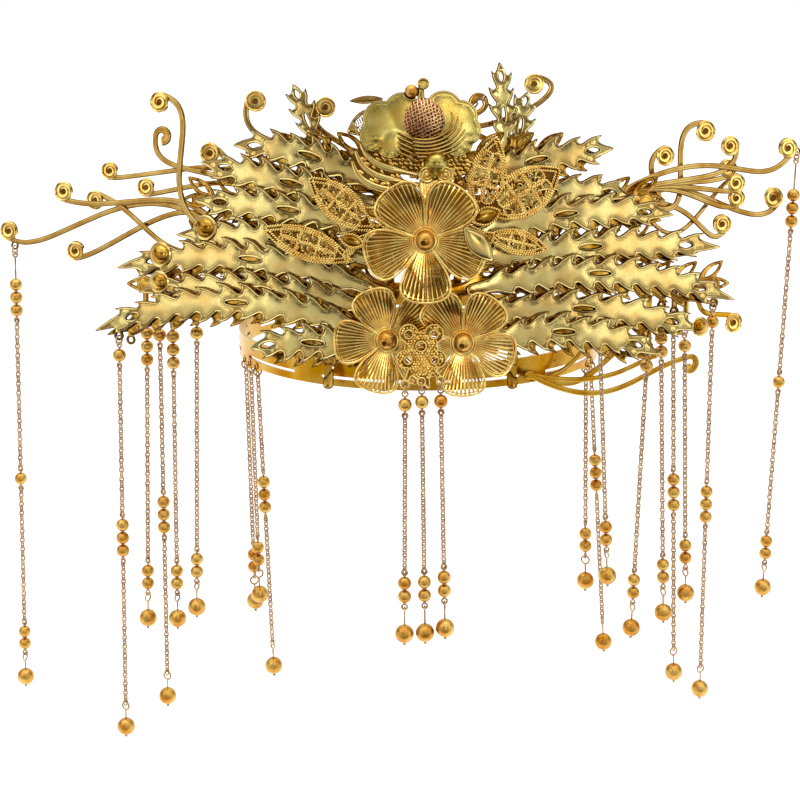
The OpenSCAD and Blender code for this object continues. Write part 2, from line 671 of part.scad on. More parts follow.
// The bird: a round head with ringed eyes and a short beak, and one wing with long feathers
module ring_at(x, w, r, ring, wire) {
    rotate([0, 0, fan_angle(x, r)]) translate([0, -r, w]) rotate([90, 0, 0])
        rotate_extrude($fn = SHELL_FN / 4) translate([ring, 0]) circle(r = wire, $fn = TORUS_FN);
}
head = [0.043, 0.69];
head_size = 4.4;
module phoenix_head() {
    c = in_fan(head[0], head[1]);
    r = layer_r(10);
    throat_r = layer_r(9);
    eye = 0.5 * head_size;
    color("orange") fan() {
        rotate([0, 0, fan_angle(c[0], r)]) translate([0, -r, c[1]]) {
            sphere(r = head_size);
            translate([-0.1 * head_size, -0.6 * head_size, -0.9 * head_size]) rotate([115, 0, 0])
                cylinder(r1 = 0.4 * head_size, r2 = 0.08 * head_size, h = 1.1 * head_size);
        }
        for (s = [-1, 1])
            ring_at(c[0] + s * 0.72 * head_size, c[1] - 0.85 * head_size, r + 0.45 * head_size,
                eye, 0.2 * head_size);
        bent(throat_r, plate_t) {
            polygon(oval(c + [0, 0.4 * head_size], c - [0, 3.8 * head_size],
                2.8 * head_size));
            link_strip([middle_post * fan_reach * throat_r / fan_r, c[1]], c, 3);
        }
        stem(middle_post * fan_reach, c[1], throat_r);
    }
}
WING_FEATHERS = [
    // start across, start height, end across, end height, first heading, last heading
    [-0.2, 0.7, 0.012, 0.6, -78, -8], [-0.19, 0.73, 0.015, 0.625, -75, -12],
    [-0.175, 0.75, 0.012, 0.652, -70, -18]];
module phoenix_wing() {
    r = layer_r(8.2);
    post = in_fan(left_post, 0.72);
    color("gold") fan() {
        bent(r, plate_t) {
            polygon(oval(in_fan(-0.215, 0.69), in_fan(0.01, 0.735), 0.115 * fan_reach));
            polygon(oval(in_fan(-0.205, 0.69), in_fan(-0.03, 0.61), 0.085 * fan_reach));
            for (row = WING_FEATHERS) {
                from = in_fan(row[0], row[1]);
                to = in_fan(row[2], row[3]);
                pull = 0.4 * norm(to - from);
                polygon(ribbon(
                    [for (i = [0:10]) cubic(from, from + heading(row[4]) * pull,
                        to - heading(row[5]) * pull, to, i / 10)],
                    [for (i = [0:10]) 0.6 + 0.8 * sin(18 * i)]));
            }
        }
        stem(post[0], post[1], r);
    }
}

// The crest over the bird: two smooth lobed petals, swirled ribs, a dome, and a bead with a ring
CREST_LOBES = [
    // across, height, radius as a share of fan_reach
    [-0.115, 0.82, 0.056], [-0.09, 0.752, 0.045], [-0.13, 0.775, 0.05], [-0.055, 0.845, 0.055],
    [0.115, 0.828, 0.05], [0.105, 0.76, 0.047], [0.13, 0.79, 0.045], [0.065, 0.85, 0.055]];
module crest() {
    r = layer_r(9.4);
    dome = in_fan(0.008, 0.822);
    dome_r = 0.062 * fan_reach;
    cap_r = 1.3 * dome_r;
    finial = in_fan(-0.004, 0.915);
    color("gold") fan() {
        bent(r, plate_t) {
            for (row = CREST_LOBES)
                translate(in_fan(row[0], row[1])) circle(r = row[2] * fan_reach);
            translate(dome) circle(r = dome_r * 0.92);
            link_strip(in_fan(-0.09, 0.79), in_fan(0.11, 0.79), 6);
            link_strip(dome, finial, 2.6);
        }
        bent(r + plate_t, 2 * plate_t) for (k = [0:2])
            polygon(ribbon(
                [for (i = [0:8]) in_fan(-0.07 + 0.0225 * i, 0.716 + 0.02 * k)
                    + [0, 0.022 * fan_h * sin(22 * i + 10 * k)]],
                [for (i = [0:8]) 0.3 + 0.5 * sin(20 * i + 10)]));
        intersection() {
            rotate([0, 0, fan_angle(dome[0], r)])
                translate([0, -r + sqrt(cap_r * cap_r - dome_r * dome_r), dome[1]])
                    sphere(r = cap_r);
            upright(r + 20) translate(dome) circle(r = dome_r);
            difference() {
                cylinder(r = r + 20, h = fan_h * 1.4, $fn = SHELL_FN);
                translate([0, 0, -1])
                    cylinder(r = r - plate_t / 2, h = fan_h * 1.4 + 2, $fn = SHELL_FN);
            }
        }
        ring_at(finial[0] + 1.2, finial[1] + 1.2, r - plate_t / 2, 1.6, 0.5);
        rotate([0, 0, fan_angle(finial[0] - 3, r)]) translate([0, -r + plate_t / 2, finial[1] - 1.5])
            sphere(r = 2.5);
        stem(middle_post * fan_reach, dome[1], r);
    }
}
module crest_leaf() {
    r = layer_r(5.5);
    post = in_fan(left_post, 0.8);
    post_x = post[0] * r / fan_r;
    color("orange") fan() {
        bent(r, plate_t) {
            leaf([-0.1, 0.845, -0.216, 0.785, 0.56], 2);
            seed([-0.11, 0.885, -0.21, 0.878, 0.24]);
            link_strip([post_x, post[1]], in_fan(-0.12, 0.885), 1.6);
            link_strip([post_x, post[1]], in_fan(-0.125, 0.832), 1.8);
            translate([post_x, post[1]]) circle(r = 2);
        }
        stem(post[0], post[1], r);
    }
}

// Cloud plate under the flowers, with three eyelets
CLOUD_LOBES = [
    // across and height in millimetres, radius
    [-4.4, 23, 3.6], [4.6, 23, 3.6], [0, 17.5, 6.2], [-5.6, 14, 3.4], [5.8, 14, 3.4], [0, 11, 4.6]];
CLOUD_HOLES = [
    // across and height in millimetres, radius
    [-4.4, 22.8, 1.2], [4.6, 22.8, 1.2], [0, 18.5, 1.5], [-4.6, 13.6, 1.1], [4.8, 13.6, 1.1]];
cloud_stem = [2.3, 4.6];
cloud_r = layer_r(12);
module cloud_plate() {
    color("gold") fan() {
        difference() {
            bent(cloud_r, plate_t) {
                for (row = CLOUD_LOBES) translate([row[0], row[1]]) circle(r = row[2]);
                for (row = STRANDS_MIDDLE) {
                    translate([row[1], row[2]]) circle(r = eyelet_r);
                    link_strip([row[1], row[2]], [row[1] * 0.6, 11], 2.4);
                }
                link_strip([cloud_stem[0], 9], cloud_stem - [0, 0.9], 1.8);
            }
            for (row = CLOUD_HOLES) translate([row[0], -cloud_r, row[1]]) punch(row[2]);
            for (row = STRANDS_MIDDLE) translate([row[1], -cloud_r, row[2]]) punch();
        }
        stem(cloud_stem[0] * fan_r / cloud_r, cloud_stem[1], cloud_r, 0.9);
    }
}

// Strands: rings, drilled beads on eye pins, and chains, each clear of the next
wire_r = wire_d / 2;
bead_gap = 0.15;
eye_out = eye_r + wire_r;
drop_eye_out = drop_eye_r + wire_r;
drop_shank = 3.2;
function pin_length(count, shank) = 4 * eye_out + shank + count * (bead_d + bead_gap) + bead_gap;
module wire_loop(radius) {
    rotate([90, 0, 0]) rotate_extrude($fn = SHELL_FN / 4)
        translate([radius, 0]) circle(r = wire_r, $fn = TORUS_FN);
}
module drilled_bead(d) {
    difference() {
        sphere(r = d / 2);
        cylinder(r = bead_hole_d / 2, h = d + 2, center = true, $fn = 24);
    }
}
// Eye pin with beads; its upper eye's top is at the origin and it hangs down
module beaded_pin(count, shank = 0) {
    whole = pin_length(count, shank);
    translate([0, 0, -eye_out]) wire_loop(eye_r);
    translate([0, 0, -whole + eye_out]) wire_loop(eye_r);
    translate([0, 0, -whole + 2 * eye_out - wire_r])
        cylinder(r = wire_r, h = whole - 4 * eye_out + 2 * wire_r, $fn = 24);
    for (k = [0:1:count - 1])
        translate([0, 0, -2 * eye_out - shank - bead_gap - bead_d / 2 - k * (bead_d + bead_gap)])
            drilled_bead(bead_d);
}
module drop_pin() {
    translate([0, 0, -drop_eye_out]) wire_loop(drop_eye_r);
    top = -2 * drop_eye_out - drop_shank;
    translate([0, 0, top - drop_d - bead_gap - wire_r])
        cylinder(r = wire_r, h = drop_shank + drop_d + bead_gap + 2 * wire_r, $fn = 24);
    translate([0, 0, top - drop_d - bead_gap - wire_r]) sphere(r = wire_r * 1.7);
    translate([0, 0, top - drop_d / 2]) drilled_bead(drop_d);
}
// A chain's outer form: one eight-sided tube swept along its straight run
module chain(length) {
    sides = 8;
    rings = max(1, round(length / (2.6 * chain_w)));
    points = [for (i = [0:rings]) for (k = [0:sides - 1])
        [chain_w / 2 * cos(k * 360 / sides), chain_w / 2 * sin(k * 360 / sides),
         -length * i / rings]];
    walls = [for (i = [0:rings - 1]) for (k = [0:sides - 1])
        let (a = i * sides + k, b = i * sides + (k + 1) % sides)
        [a, b, b + sides, a + sides]];
    ends = [[for (k = [sides - 1:-1:0]) k], [for (k = [0:sides - 1]) rings * sides + k]];
    polyhedron(points = points, faces = concat(walls, ends), convexity = 2);
}
// How far below the upper eye's top each part's successor starts
eyes_linked = 4 * wire_r + fit_gap;
module strand_after(parts, i) {
    if (i < len(parts)) {
        kind = parts[i][0];
        size = parts[i][1];
        if (kind == "beads") beaded_pin(size, parts[i][2]);
        if (kind == "chain") chain(size);
        if (kind == "drop") drop_pin();
        down = kind == "beads" ? pin_length(size, parts[i][2]) : size;
        linked = kind == "beads" && i + 1 < len(parts) && parts[i + 1][0] == "drop";
        translate([0, 0, -down + (linked ? eyes_linked : -fit_gap)])
            rotate([0, 0, linked ? 90 : 0]) strand_after(parts, i + 1);
    }
}
// The strand hangs from a hole at the origin by a ring that stands square to the sheet
module strand(parts, ring = ring_r) {
    translate([0, 0, -ring]) rotate([0, 0, 90]) wire_loop(ring);
    first = parts[0][0] == "beads"
        ? 2 * ring - eyes_linked + wire_r
        : 2 * ring + wire_r + fit_gap;
    translate([0, 0, -first]) strand_after(parts, 0);
}
function strand_parts(top, chain_1, middle, chain_2, low, shank = 0) =
    concat(
        top > 0 ? [["beads", top, shank]] : [],
        [["chain", chain_1 * chain_run]],
        middle > 0 ? [["beads", middle, 0]] : [],
        chain_2 > 0 ? [["chain", chain_2 * chain_run]] : [],
        low > 0 ? [["beads", low, 0]] : [],
        [["drop", 0]]);
module hung(place, turn, lean) {
    color("goldenrod") translate(place) rotate([0, -lean, 0]) rotate([0, 0, turn]) children();
}
module tassel_fan(row) {
    on_plate = len(row) > 9;
    x = row[1] * fan_reach;
    outer = on_plate ? layer_r(row[10]) : fan_r;
    mid = outer - (on_plate ? plate_t : bar_t) / 2;
    hung(fan_point(x * mid / outer, row[2] * fan_h, mid), fan_angle(x, outer), row[3])
        strand(strand_parts(row[4], row[5], row[6], row[7], row[8]));
}
module tassel_band(row) {
    r = band_r - band_wall / 2;
    hung([r * sin(row[1]), -r * cos(row[1]), 0.3], row[1], row[2])
        strand(strand_parts(row[3], row[4], row[5], row[6], row[7]));
}
module tassel_middle(row) {
    r = cloud_r - plate_t / 2;
    hung(fan_point(row[1], row[2], r), fan_angle(row[1], r), row[3])
        strand(strand_parts(1, row[4], 0, 0, 2));
}
// The far strands hang from eyelets on two of the curled strips
module tassel_far(rows, tab, hub, r, yaw, shank, lean, chains) {
    side = hub[0] < 0 ? -1 : 1;
    x = hub[0] * fan_reach;
    place = tab_at([0, hub[1] * fan_h], rows[tab[0]], tab[1]);
    depth = -sqrt(r * r - x * x);
    back = (tab[0] + 1) * layer_t - 0.3 - strip_t / 2;
    turn = side * yaw;
    local = [x + place[0] * cos(turn) - back * sin(turn),
        depth + place[0] * sin(turn) + back * cos(turn)];
    hung(fan_point(local[0], place[1], norm(local)), turn, lean)
        strand(strand_parts(3, chains[0], 1, chains[1], 2, shank));
}
LEFT_HIGH_HUB = [-0.508, 0.617];
LEFT_FAR_HUB = [-0.59, 0.454];
RIGHT_HIGH_HUB = [0.574, 0.583];
RIGHT_FAR_HUB = [0.697, 0.573];
LEFT_TAB = [2, -1];
RIGHT_TAB = [0, 1];
right_far_r = side_spray_r - len(CURLS_RIGHT_HIGH) * layer_t - 0.3;

for (i = [0:7])
    flame_plate(FLAMES_LEFT[i], -1, i, str("flame_left_", i + 1));
for (i = [0:6])
    flame_plate(FLAMES_RIGHT[i], 1, i, str("flame_right_", i + 1));
for (i = [0:2])
    flame_top(FLAMES_TOP[i]);
crown_frame();
spray(CURLS_LEFT_HIGH, LEFT_HIGH_HUB, side_spray_r, left_yaw);  // curls_left_high
spray(CURLS_LEFT_FAR, LEFT_FAR_HUB, side_spray_r, left_far_yaw, LEFT_TAB);  // curls_left_far
spray(CURLS_RIGHT_HIGH, RIGHT_HIGH_HUB, side_spray_r, side_spray_yaw, RIGHT_TAB);  // curls_right_high
spray(CURLS_RIGHT_FAR, RIGHT_FAR_HUB, right_far_r, side_spray_yaw);  // curls_right_far
spray(CURLS_TOP_LEFT, [-0.189, 0.717], fan_r - 5.2, 8);  // curls_top_left
spray(CURLS_TOP_RIGHT, [right_post, 0.81], fan_r - 5.6, 8);  // curls_top_right
spray(CURL_LOW_RIGHT, [0.869, 0.317], fan_r - 4.5, 30);  // curl_low_right
band_arms();
flower(middle_post * fan_reach, 0.467 * fan_h, layer_r(11), flower_r, 36);  // flower_middle
flower(left_post * fan_reach, 0.168 * fan_h, layer_r(8), low_flower_r, 20);  // flower_low_left
flower(right_post * fan_reach, 0.163 * fan_h, layer_r(9.8), low_flower_r, 36);  // flower_low_right
filigree(LEAVES_LEFT, SEEDS_LEFT, left_post, 0.5);  // filigree_left
filigree(LEAVES_RIGHT, SEEDS_RIGHT, right_post, 0.517);  // filigree_right
phoenix_head();
phoenix_wing();
crest();
crest_leaf();
cloud_plate();
tassel_far(CURLS_LEFT_FAR, LEFT_TAB, LEFT_FAR_HUB, side_spray_r, left_far_yaw,  // tassel_left_1
        far_left_shank, far_left_lean, FAR_LEFT_CHAINS);
tassel_far(CURLS_RIGHT_HIGH, RIGHT_TAB, RIGHT_HIGH_HUB, side_spray_r, side_spray_yaw,  // tassel_right_9
        far_right_shank, far_right_lean, FAR_RIGHT_CHAINS);
for (row = concat(STRANDS_FAN, STRANDS_PLATE))
    tassel_fan(row);
for (row = STRANDS_BAND)
    tassel_band(row);
for (row = STRANDS_MIDDLE)
    tassel_middle(row);
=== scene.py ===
"""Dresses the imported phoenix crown: pressed flame plates, rolled curls, ribbed flowers, rope-edged
leaves, the bird and its crest, and the beaded strands. Lengths in the helpers are millimetres."""

import colorsys
import math

import bmesh
import bpy
import numpy as np
from mathutils import Matrix, Vector
from mathutils.geometry import delaunay_2d_cdt


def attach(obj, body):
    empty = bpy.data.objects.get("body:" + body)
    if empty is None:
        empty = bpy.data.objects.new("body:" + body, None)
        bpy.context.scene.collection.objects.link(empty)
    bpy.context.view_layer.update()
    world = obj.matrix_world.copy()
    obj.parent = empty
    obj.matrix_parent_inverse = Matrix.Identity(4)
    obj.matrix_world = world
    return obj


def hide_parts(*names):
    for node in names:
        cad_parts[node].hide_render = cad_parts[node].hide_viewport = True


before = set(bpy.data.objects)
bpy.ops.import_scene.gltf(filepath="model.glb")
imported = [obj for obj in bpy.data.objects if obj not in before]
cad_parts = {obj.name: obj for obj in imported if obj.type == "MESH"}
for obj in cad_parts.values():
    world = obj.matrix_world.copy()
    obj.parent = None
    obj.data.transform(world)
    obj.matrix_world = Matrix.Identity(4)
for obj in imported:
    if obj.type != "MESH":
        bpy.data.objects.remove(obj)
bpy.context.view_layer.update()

bl_info = {
    "name": "Phoenix crown",
    "version": (1, 0, 0),
    "blender": (4, 5, 0),
    "location": "3D View > Sidebar > Crown",
    "description": "Gilt pieces, strands and stage for a phoenix crown",
    "category": "Object",
}

MM = 0.001

# The fan that carries the plates, in mm: it stands in front of the band and leans back
BAND_R = 72.0
FAN_R = 200.0
FAN_REACH = 122.0
FAN_H = 120.0
FAN_FOOT = np.array([0.0, -BAND_R - 1.0, 0.0])
FAN_LEAN = math.radians(8)
PLATE_T = 0.8
# Its layers of plates: how far the first is before the bars, and each before the one behind it
LAYER_START = 3
LAYER_STEP = 1.8


def named(prefix):
    """The CAD nodes whose name starts with that word."""
    return sorted(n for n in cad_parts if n.startswith(prefix))


def noise(points, wave, seed=0):
    """A smooth wandering value from -1 to 1 over plane points, made of a few crossed waves."""
    rng = np.random.default_rng(seed)
    total = np.zeros(len(points))
    for _ in range(5):
        turn = rng.uniform(0, 2 * math.pi)
        way = np.array([math.cos(turn), math.sin(turn)]) * 2 * math.pi / wave
        total += np.sin(points @ way * rng.uniform(0.6, 1.6) + rng.uniform(0, 6.3))
    return total / 3


# Frames and charts
def to_fan(points):
    """World points in the fan's own frame, whose axis is upright."""
    q = np.asarray(points) - FAN_FOOT
    c, s = math.cos(FAN_LEAN), math.sin(FAN_LEAN)
    return np.stack([q[:, 0], c * q[:, 1] - s * q[:, 2] - FAN_R, s * q[:, 1] + c * q[:, 2]], 1)


def from_fan(points):
    """Points of the fan's frame in the world."""
    x, y, z = points[:, 0], points[:, 1] + FAN_R, points[:, 2]
    c, s = math.cos(FAN_LEAN), math.sin(FAN_LEAN)
    return np.stack([x, c * y + s * z, -s * y + c * z], 1) + FAN_FOOT


class RoundChart:
    """Across and height on a round sheet of the fan, whose front has that radius."""

    def __init__(self, radius):
        self.radius = radius

    def flat(self, points):
        local = to_fan(points)
        return local[:, [0, 2]]

    def place(self, flat, rise):
        turn = np.arcsin(np.clip(flat[:, 0] / self.radius, -1, 1))
        out = self.radius + rise
        return from_fan(np.stack([out * np.sin(turn), -out * np.cos(turn), flat[:, 1]], 1))


class FlatChart:
    """Across and height on a flat upright sheet with that front normal, through that point."""

    def __init__(self, normal, point):
        self.normal = np.asarray(normal, float)
        up = np.array([0, 0, 1.0])
        self.up = up - (up @ self.normal) * self.normal
        self.up /= np.linalg.norm(self.up)
        self.across = np.cross(self.up, self.normal)
        self.point = np.asarray(point, float)

    def flat(self, points):
        away = np.asarray(points) - self.point
        return np.stack([away @ self.across, away @ self.up], 1)

    def place(self, flat, rise):
        lift = np.broadcast_to(rise, len(flat))[:, None]
        return (self.point + flat[:, :1] * self.across + flat[:, 1:] * self.up
                + lift * self.normal)


def layer_r(layer):
    """The radius of a layer of the fan, also between two of them."""
    return FAN_R + LAYER_START + LAYER_STEP * layer


def on_round(across, height, radius):
    """A world point over a round sheet, and the way it faces."""
    chart = RoundChart(radius)
    near = chart.place(np.array([[across, height]]), 0.0)[0]
    return near, chart.place(np.array([[across, height]]), 1.0)[0] - near


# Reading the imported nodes
def cad_mesh(name):
    """A node's merged points in millimetres, and its triangles."""
    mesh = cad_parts[name].data
    mesh.calc_loop_triangles()
    points = np.empty(len(mesh.vertices) * 3)
    mesh.vertices.foreach_get("co", points)
    triangles = np.empty(len(mesh.loop_triangles) * 3, np.int32)
    mesh.loop_triangles.foreach_get("vertices", triangles)
    points, where = np.unique(np.round(points.reshape(-1, 3) / MM, 4), axis=0,
                              return_inverse=True)
    return points, where.ravel()[triangles].reshape(-1, 3)


def boundary(triangles):
    """The directed edges that only one triangle has."""
    edges = np.concatenate([triangles[:, [0, 1]], triangles[:, [1, 2]], triangles[:, [2, 0]]])
    there = set(map(tuple, edges.tolist()))
    return [(a, b) for a, b in there if (b, a) not in there]


def edge_loops(triangles):
    """Closed rings of point numbers round the triangles, with the sheet on their left."""
    after = {}
    for a, b in boundary(triangles):
        after.setdefault(a, []).append(b)
    loops = []
    while after:
        start = min(after)
        loop, here = [], start
        while here in after:
            loop.append(here)
            step = after[here].pop()
            if not after[here]:
                del after[here]
            here = step
        if len(loop) > 2:
            loops.append(loop)
    return loops


def corners(loop, least=2.5):
    """A plane loop without the points that lie on straight stretches."""
    keep = loop
    for _ in range(3):
        before, after = np.roll(keep, 1, 0), np.roll(keep, -1, 0)
        one, two = keep - before, after - keep
        turn = np.degrees(np.arctan2(one[:, 0] * two[:, 1] - one[:, 1] * two[:, 0],
                                     (one * two).sum(1)))
        stay = (np.abs(turn) > least) & (np.hypot(*one.T) > 0.02)
        if stay.all() or stay.sum() < 4:
            break
        keep = keep[stay]
    return keep


def rounded(loop, step=0.45, closed=True):
    """A smooth line through a loop's corners, with points about a step apart."""
    count = len(loop)
    out = []
    for i in range(count if closed else count - 1):
        if closed:
            p0, p1, p2, p3 = (loop[(i + k) % count] for k in (-1, 0, 1, 2))
        else:
            p1, p2 = loop[i], loop[i + 1]
            p0 = loop[i - 1] if i else 2 * p1 - p2
            p3 = loop[i + 2] if i + 2 < count else 2 * p2 - p1
        t1 = max(np.linalg.norm(p1 - p0), 1e-6) ** 0.5
        t2 = t1 + max(np.linalg.norm(p2 - p1), 1e-6) ** 0.5
        t3 = t2 + max(np.linalg.norm(p3 - p2), 1e-6) ** 0.5
        parts = max(1, int(round(np.linalg.norm(p2 - p1) / step)))
        for t in t1 + (t2 - t1) * np.arange(parts) / parts:
            a1 = p0 * (t1 - t) / t1 + p1 * t / t1
            a2 = p1 * (t2 - t) / (t2 - t1) + p2 * (t - t1) / (t2 - t1)
            a3 = p2 * (t3 - t) / (t3 - t2) + p3 * (t - t2) / (t3 - t2)
            b1 = a1 * (t2 - t) / t2 + a2 * t / t2
            b2 = a2 * (t3 - t) / (t3 - t1) + a3 * (t - t1) / (t3 - t1)
            out.append(b1 * (t2 - t) / (t2 - t1) + b2 * (t - t1) / (t2 - t1))
    if not closed:
        out.append(loop[-1])
    return np.array(out)


def shoelace(loop):
    """A closed loop's signed area."""
    after = np.roll(loop, -1, 0)
    return (loop[:, 0] * after[:, 1] - loop[:, 1] * after[:, 0]).sum() / 2


def front_sheets(name, least=4.0, side=1):
    """The front faces of a node that the fan carries, or with side -1 what its back faces say of
    them, free of what stands in front: [(chart, plane loops, area)]."""
    points, triangles = cad_mesh(name)
    local = to_fan(points)
    radius = np.hypot(local[:, 0], local[:, 1])
    a, b, c = (local[triangles[:, k]] for k in range(3))
    normal = np.cross(b - a, c - a)
    size = np.linalg.norm(normal, axis=1) + 1e-12
    mid = (a + b + c) / 3
    out = (normal[:, :2] * mid[:, :2]).sum(1) / size / np.hypot(mid[:, 0], mid[:, 1])
    level = np.round(radius[triangles].mean(1) / 0.1).astype(int)
    even = (out * side > 0.95) & (np.ptp(radius[triangles], axis=1) < 0.03)
    triangles = triangles[:, ::side]
    sheets = []
    for key in sorted(set(level[even])):
        chosen = even & (level == key)
        area = size[chosen].sum() / 2
        if area < least:
            continue
        chart = RoundChart(float(np.median(radius[triangles[chosen]])) + (side < 0) * PLATE_T)
        flat = chart.flat(points)
        loops = [corners(flat[loop]) for loop in edge_loops(triangles[chosen])]
        sheets.append((chart, [loop for loop in loops if len(loop) > 2], area))
    return sheets


def back_sheet(name):
    """The largest sheet of a fan node as its back shows it, free of what stands in front and of
    its pins' feet: [(chart, plane loops, area)]."""
    chart, loops, area = max(front_sheets(name, 3, -1), key=lambda sheet: sheet[2])
    feet = [np.ptp(loop, axis=0).max() < 3 and abs(shoelace(loop)) < 5 for loop in loops]
    return [(chart, [loop for loop, foot in zip(loops, feet) if not foot], area)]


def flat_sheets(name, least=4.0):
    """The flat front faces of a node: [(chart, plane loops, area)], from the rearmost on."""
    points, triangles = cad_mesh(name)
    a, b, c = (points[triangles[:, k]] for k in range(3))
    normal = np.cross(b - a, c - a)
    size = np.linalg.norm(normal, axis=1) + 1e-12
    normal /= size[:, None]
    toward = normal[:, 1] < -0.6
    keys = {}
    for i in np.nonzero(toward)[0]:
        key = tuple(np.round(normal[i], 2)) + (round(float(normal[i] @ a[i]) / 0.1),)
        keys.setdefault(key, []).append(i)
    sheets = []
    for key, rows in sorted(keys.items(), key=lambda item: item[0][3]):
        area = size[rows].sum() / 2
        if area < least:
            continue
        chart = FlatChart(normal[rows].mean(0) / np.linalg.norm(normal[rows].mean(0)), a[rows[0]])
        flat = chart.flat(points)
        loops = [corners(flat[loop]) for loop in edge_loops(triangles[rows])]
        sheets.append((chart, [loop for loop in loops if len(loop) > 2], area))
    return sheets


def solids(name):
    """The loose solids of a node, each as its points and triangles."""
    points, triangles = cad_mesh(name)
    label = np.arange(len(points))
    while True:
        low = label[triangles].min(1)
        fresh = label.copy()
        for k in range(3):
            np.minimum.at(fresh, triangles[:, k], low)
        fresh = fresh[fresh]
        if (fresh == label).all():
            break
        label = fresh
    for key in np.unique(label[triangles[:, 0]]):
        chosen = triangles[label[triangles[:, 0]] == key]
        used, where = np.unique(chosen, return_inverse=True)
        yield points[used], where.reshape(-1, 3)


def pins(name, front, behind):
    """The triangles of a fan node's pins, which stand behind its sheet or in front of it."""
    points, triangles = cad_mesh(name)
    local = to_fan(points)
    radius = np.hypot(local[:, 0], local[:, 1])[triangles]
    off = radius.max(1) > front + 0.05 if not behind else radius.min(1) < front - PLATE_T - 0.05
    used, where = np.unique(triangles[off], return_inverse=True)
    return points[used], where.reshape(-1, 3)


# Plane geometry
def segments(loops):
    """Starts and ends of all the loops' sides."""
    return (np.concatenate(loops), np.concatenate([np.roll(loop, -1, 0) for loop in loops]))


def reach(points, loops):
    """Each point's distance to the nearest side."""
    start, end = segments(loops)
    way = end - start
    square = (way * way).sum(1) + 1e-12
    out = np.empty(len(points))
    for i in range(0, len(points), 400):
        p = points[i:i + 400, None, :]
        share = np.clip(((p - start) * way).sum(2) / square, 0, 1)
        gap = p - start - share[..., None] * way
        out[i:i + 400] = np.sqrt((gap * gap).sum(2).min(1))
    return out


def inside(points, loops):
    """Whether each point has an odd number of sides to its right."""
    start, end = segments(loops)
    out = np.empty(len(points), bool)
    for i in range(0, len(points), 400):
        p = points[i:i + 400, None, :]
        over = (start[:, 1] > p[..., 1]) != (end[:, 1] > p[..., 1])
        rise = np.where(np.abs(end[:, 1] - start[:, 1]) < 1e-12, 1e-12, end[:, 1] - start[:, 1])
        cross = start[:, 0] + (p[..., 1] - start[:, 1]) / rise * (end[:, 0] - start[:, 0])
        out[i:i + 400] = (over & (p[..., 0] < cross)).sum(1) % 2 == 1
    return out


def hex_grid(low, high, pitch):
    """Points of a triangular grid between two plane corners."""
    rows = []
    for k, y in enumerate(np.arange(low[1], high[1], pitch * 0.866)):
        x = np.arange(low[0] + (k % 2) * pitch / 2, high[0], pitch)
        rows.append(np.stack([x, np.full(len(x), y)], 1))
    return np.concatenate(rows)


def moved_in(loop, depth):
    """A closed loop shifted to its left, which is into its sheet."""
    way = np.roll(loop, -1, 0) - np.roll(loop, 1, 0)
    way /= np.linalg.norm(way, axis=1)[:, None] + 1e-12
    return loop + np.stack([-way[:, 1], way[:, 0]], 1) * depth


def hatch(loops, turn, pitch, step=0.35):
    """Straight lines at an angle, a pitch apart, cut to what the loops enclose."""
    c, s = math.cos(turn), math.sin(turn)
    spun = [loop @ np.array([[c, -s], [s, c]]) for loop in loops]
    low, high = np.concatenate(spun).min(0), np.concatenate(spun).max(0)
    lines = []
    for y in np.arange(low[1] + pitch / 2, high[1], pitch):
        x = np.arange(low[0], high[0], step)
        row = np.stack([x, np.full(len(x), y)], 1)
        within = np.nonzero(inside(row, spun))[0]
        for run in np.split(within, np.nonzero(np.diff(within) > 1)[0] + 1):
            if len(run) > 2:
                lines.append(row[run] @ np.array([[c, s], [-s, c]]))
    return lines


def filled(loops, rings, pitch):
    """Plane points and triangles that fill the loops, with extra rings of points in from them."""
    extra = []
    for loop in loops:
        for depth in rings:
            ring = moved_in(loop, depth)
            extra.append(ring[reach(ring, loops) > 0.94 * depth])
    everything = np.concatenate(loops)
    grid = hex_grid(everything.min(0), everything.max(0), pitch)
    grid = grid[inside(grid, loops)]
    extra.append(grid[reach(grid, loops) > rings[-1] + 0.45 * pitch])
    points = np.concatenate([everything] + extra)
    sides, first = [], 0
    for loop in loops:
        sides += [(first + i, first + (i + 1) % len(loop)) for i in range(len(loop))]
        first += len(loop)
    made = delaunay_2d_cdt([Vector(p) for p in points.tolist()], sides, [], 1, 1e-5)
    flat = np.array([tuple(p) for p in made[0]])
    triangles = np.array(made[2])
    return flat, triangles[inside(flat[triangles].mean(1), loops)]


# Making meshes
# The distance from an edge that a point gets where no painted groove shade is to go
FAR_IN = 9.0


def enclosed(points, faces):
    """Six times the volume within the faces, above 0 where they look outward. It is 0 where the
    faces leave an opening, which shows in an area that adds up to more than nothing."""
    local = points - points.mean(0)
    volume, area = 0.0, np.zeros(3)
    for count in set(map(len, faces)):
        ends = local[np.array([face for face in faces if len(face) == count])]
        for k in range(1, count - 1):
            a, b, c = ends[:, 0], ends[:, k], ends[:, k + 1]
            volume += np.einsum("ij,ij->", a, np.cross(b, c))
            area += np.cross(b - a, c - a).sum(0)
    return volume if np.abs(area).max() < 1e-3 else 0.0


class Shape:
    """Points in millimetres and faces, by material, that add up to one piece."""

    def __init__(self):
        self.points, self.faces, self.kinds, self.edge, self.count = [], [], [], [], 0

    def add(self, points, faces, kind=0, edge=None):
        """Adds a shell, turned to face outward if closed; edge is each point's distance in."""
        points = np.asarray(points, float)
        faces = [list(face) for face in
                 (faces.tolist() if isinstance(faces, np.ndarray) else faces)]
        if enclosed(points, faces) < 0:
            faces = [face[::-1] for face in faces]
        self.points.append(points)
        self.edge.append(np.full(len(points), FAR_IN) if edge is None else edge)
        self.faces += [[i + self.count for i in face] for face in faces]
        self.kinds += [kind] * len(faces)
        self.count += len(points)


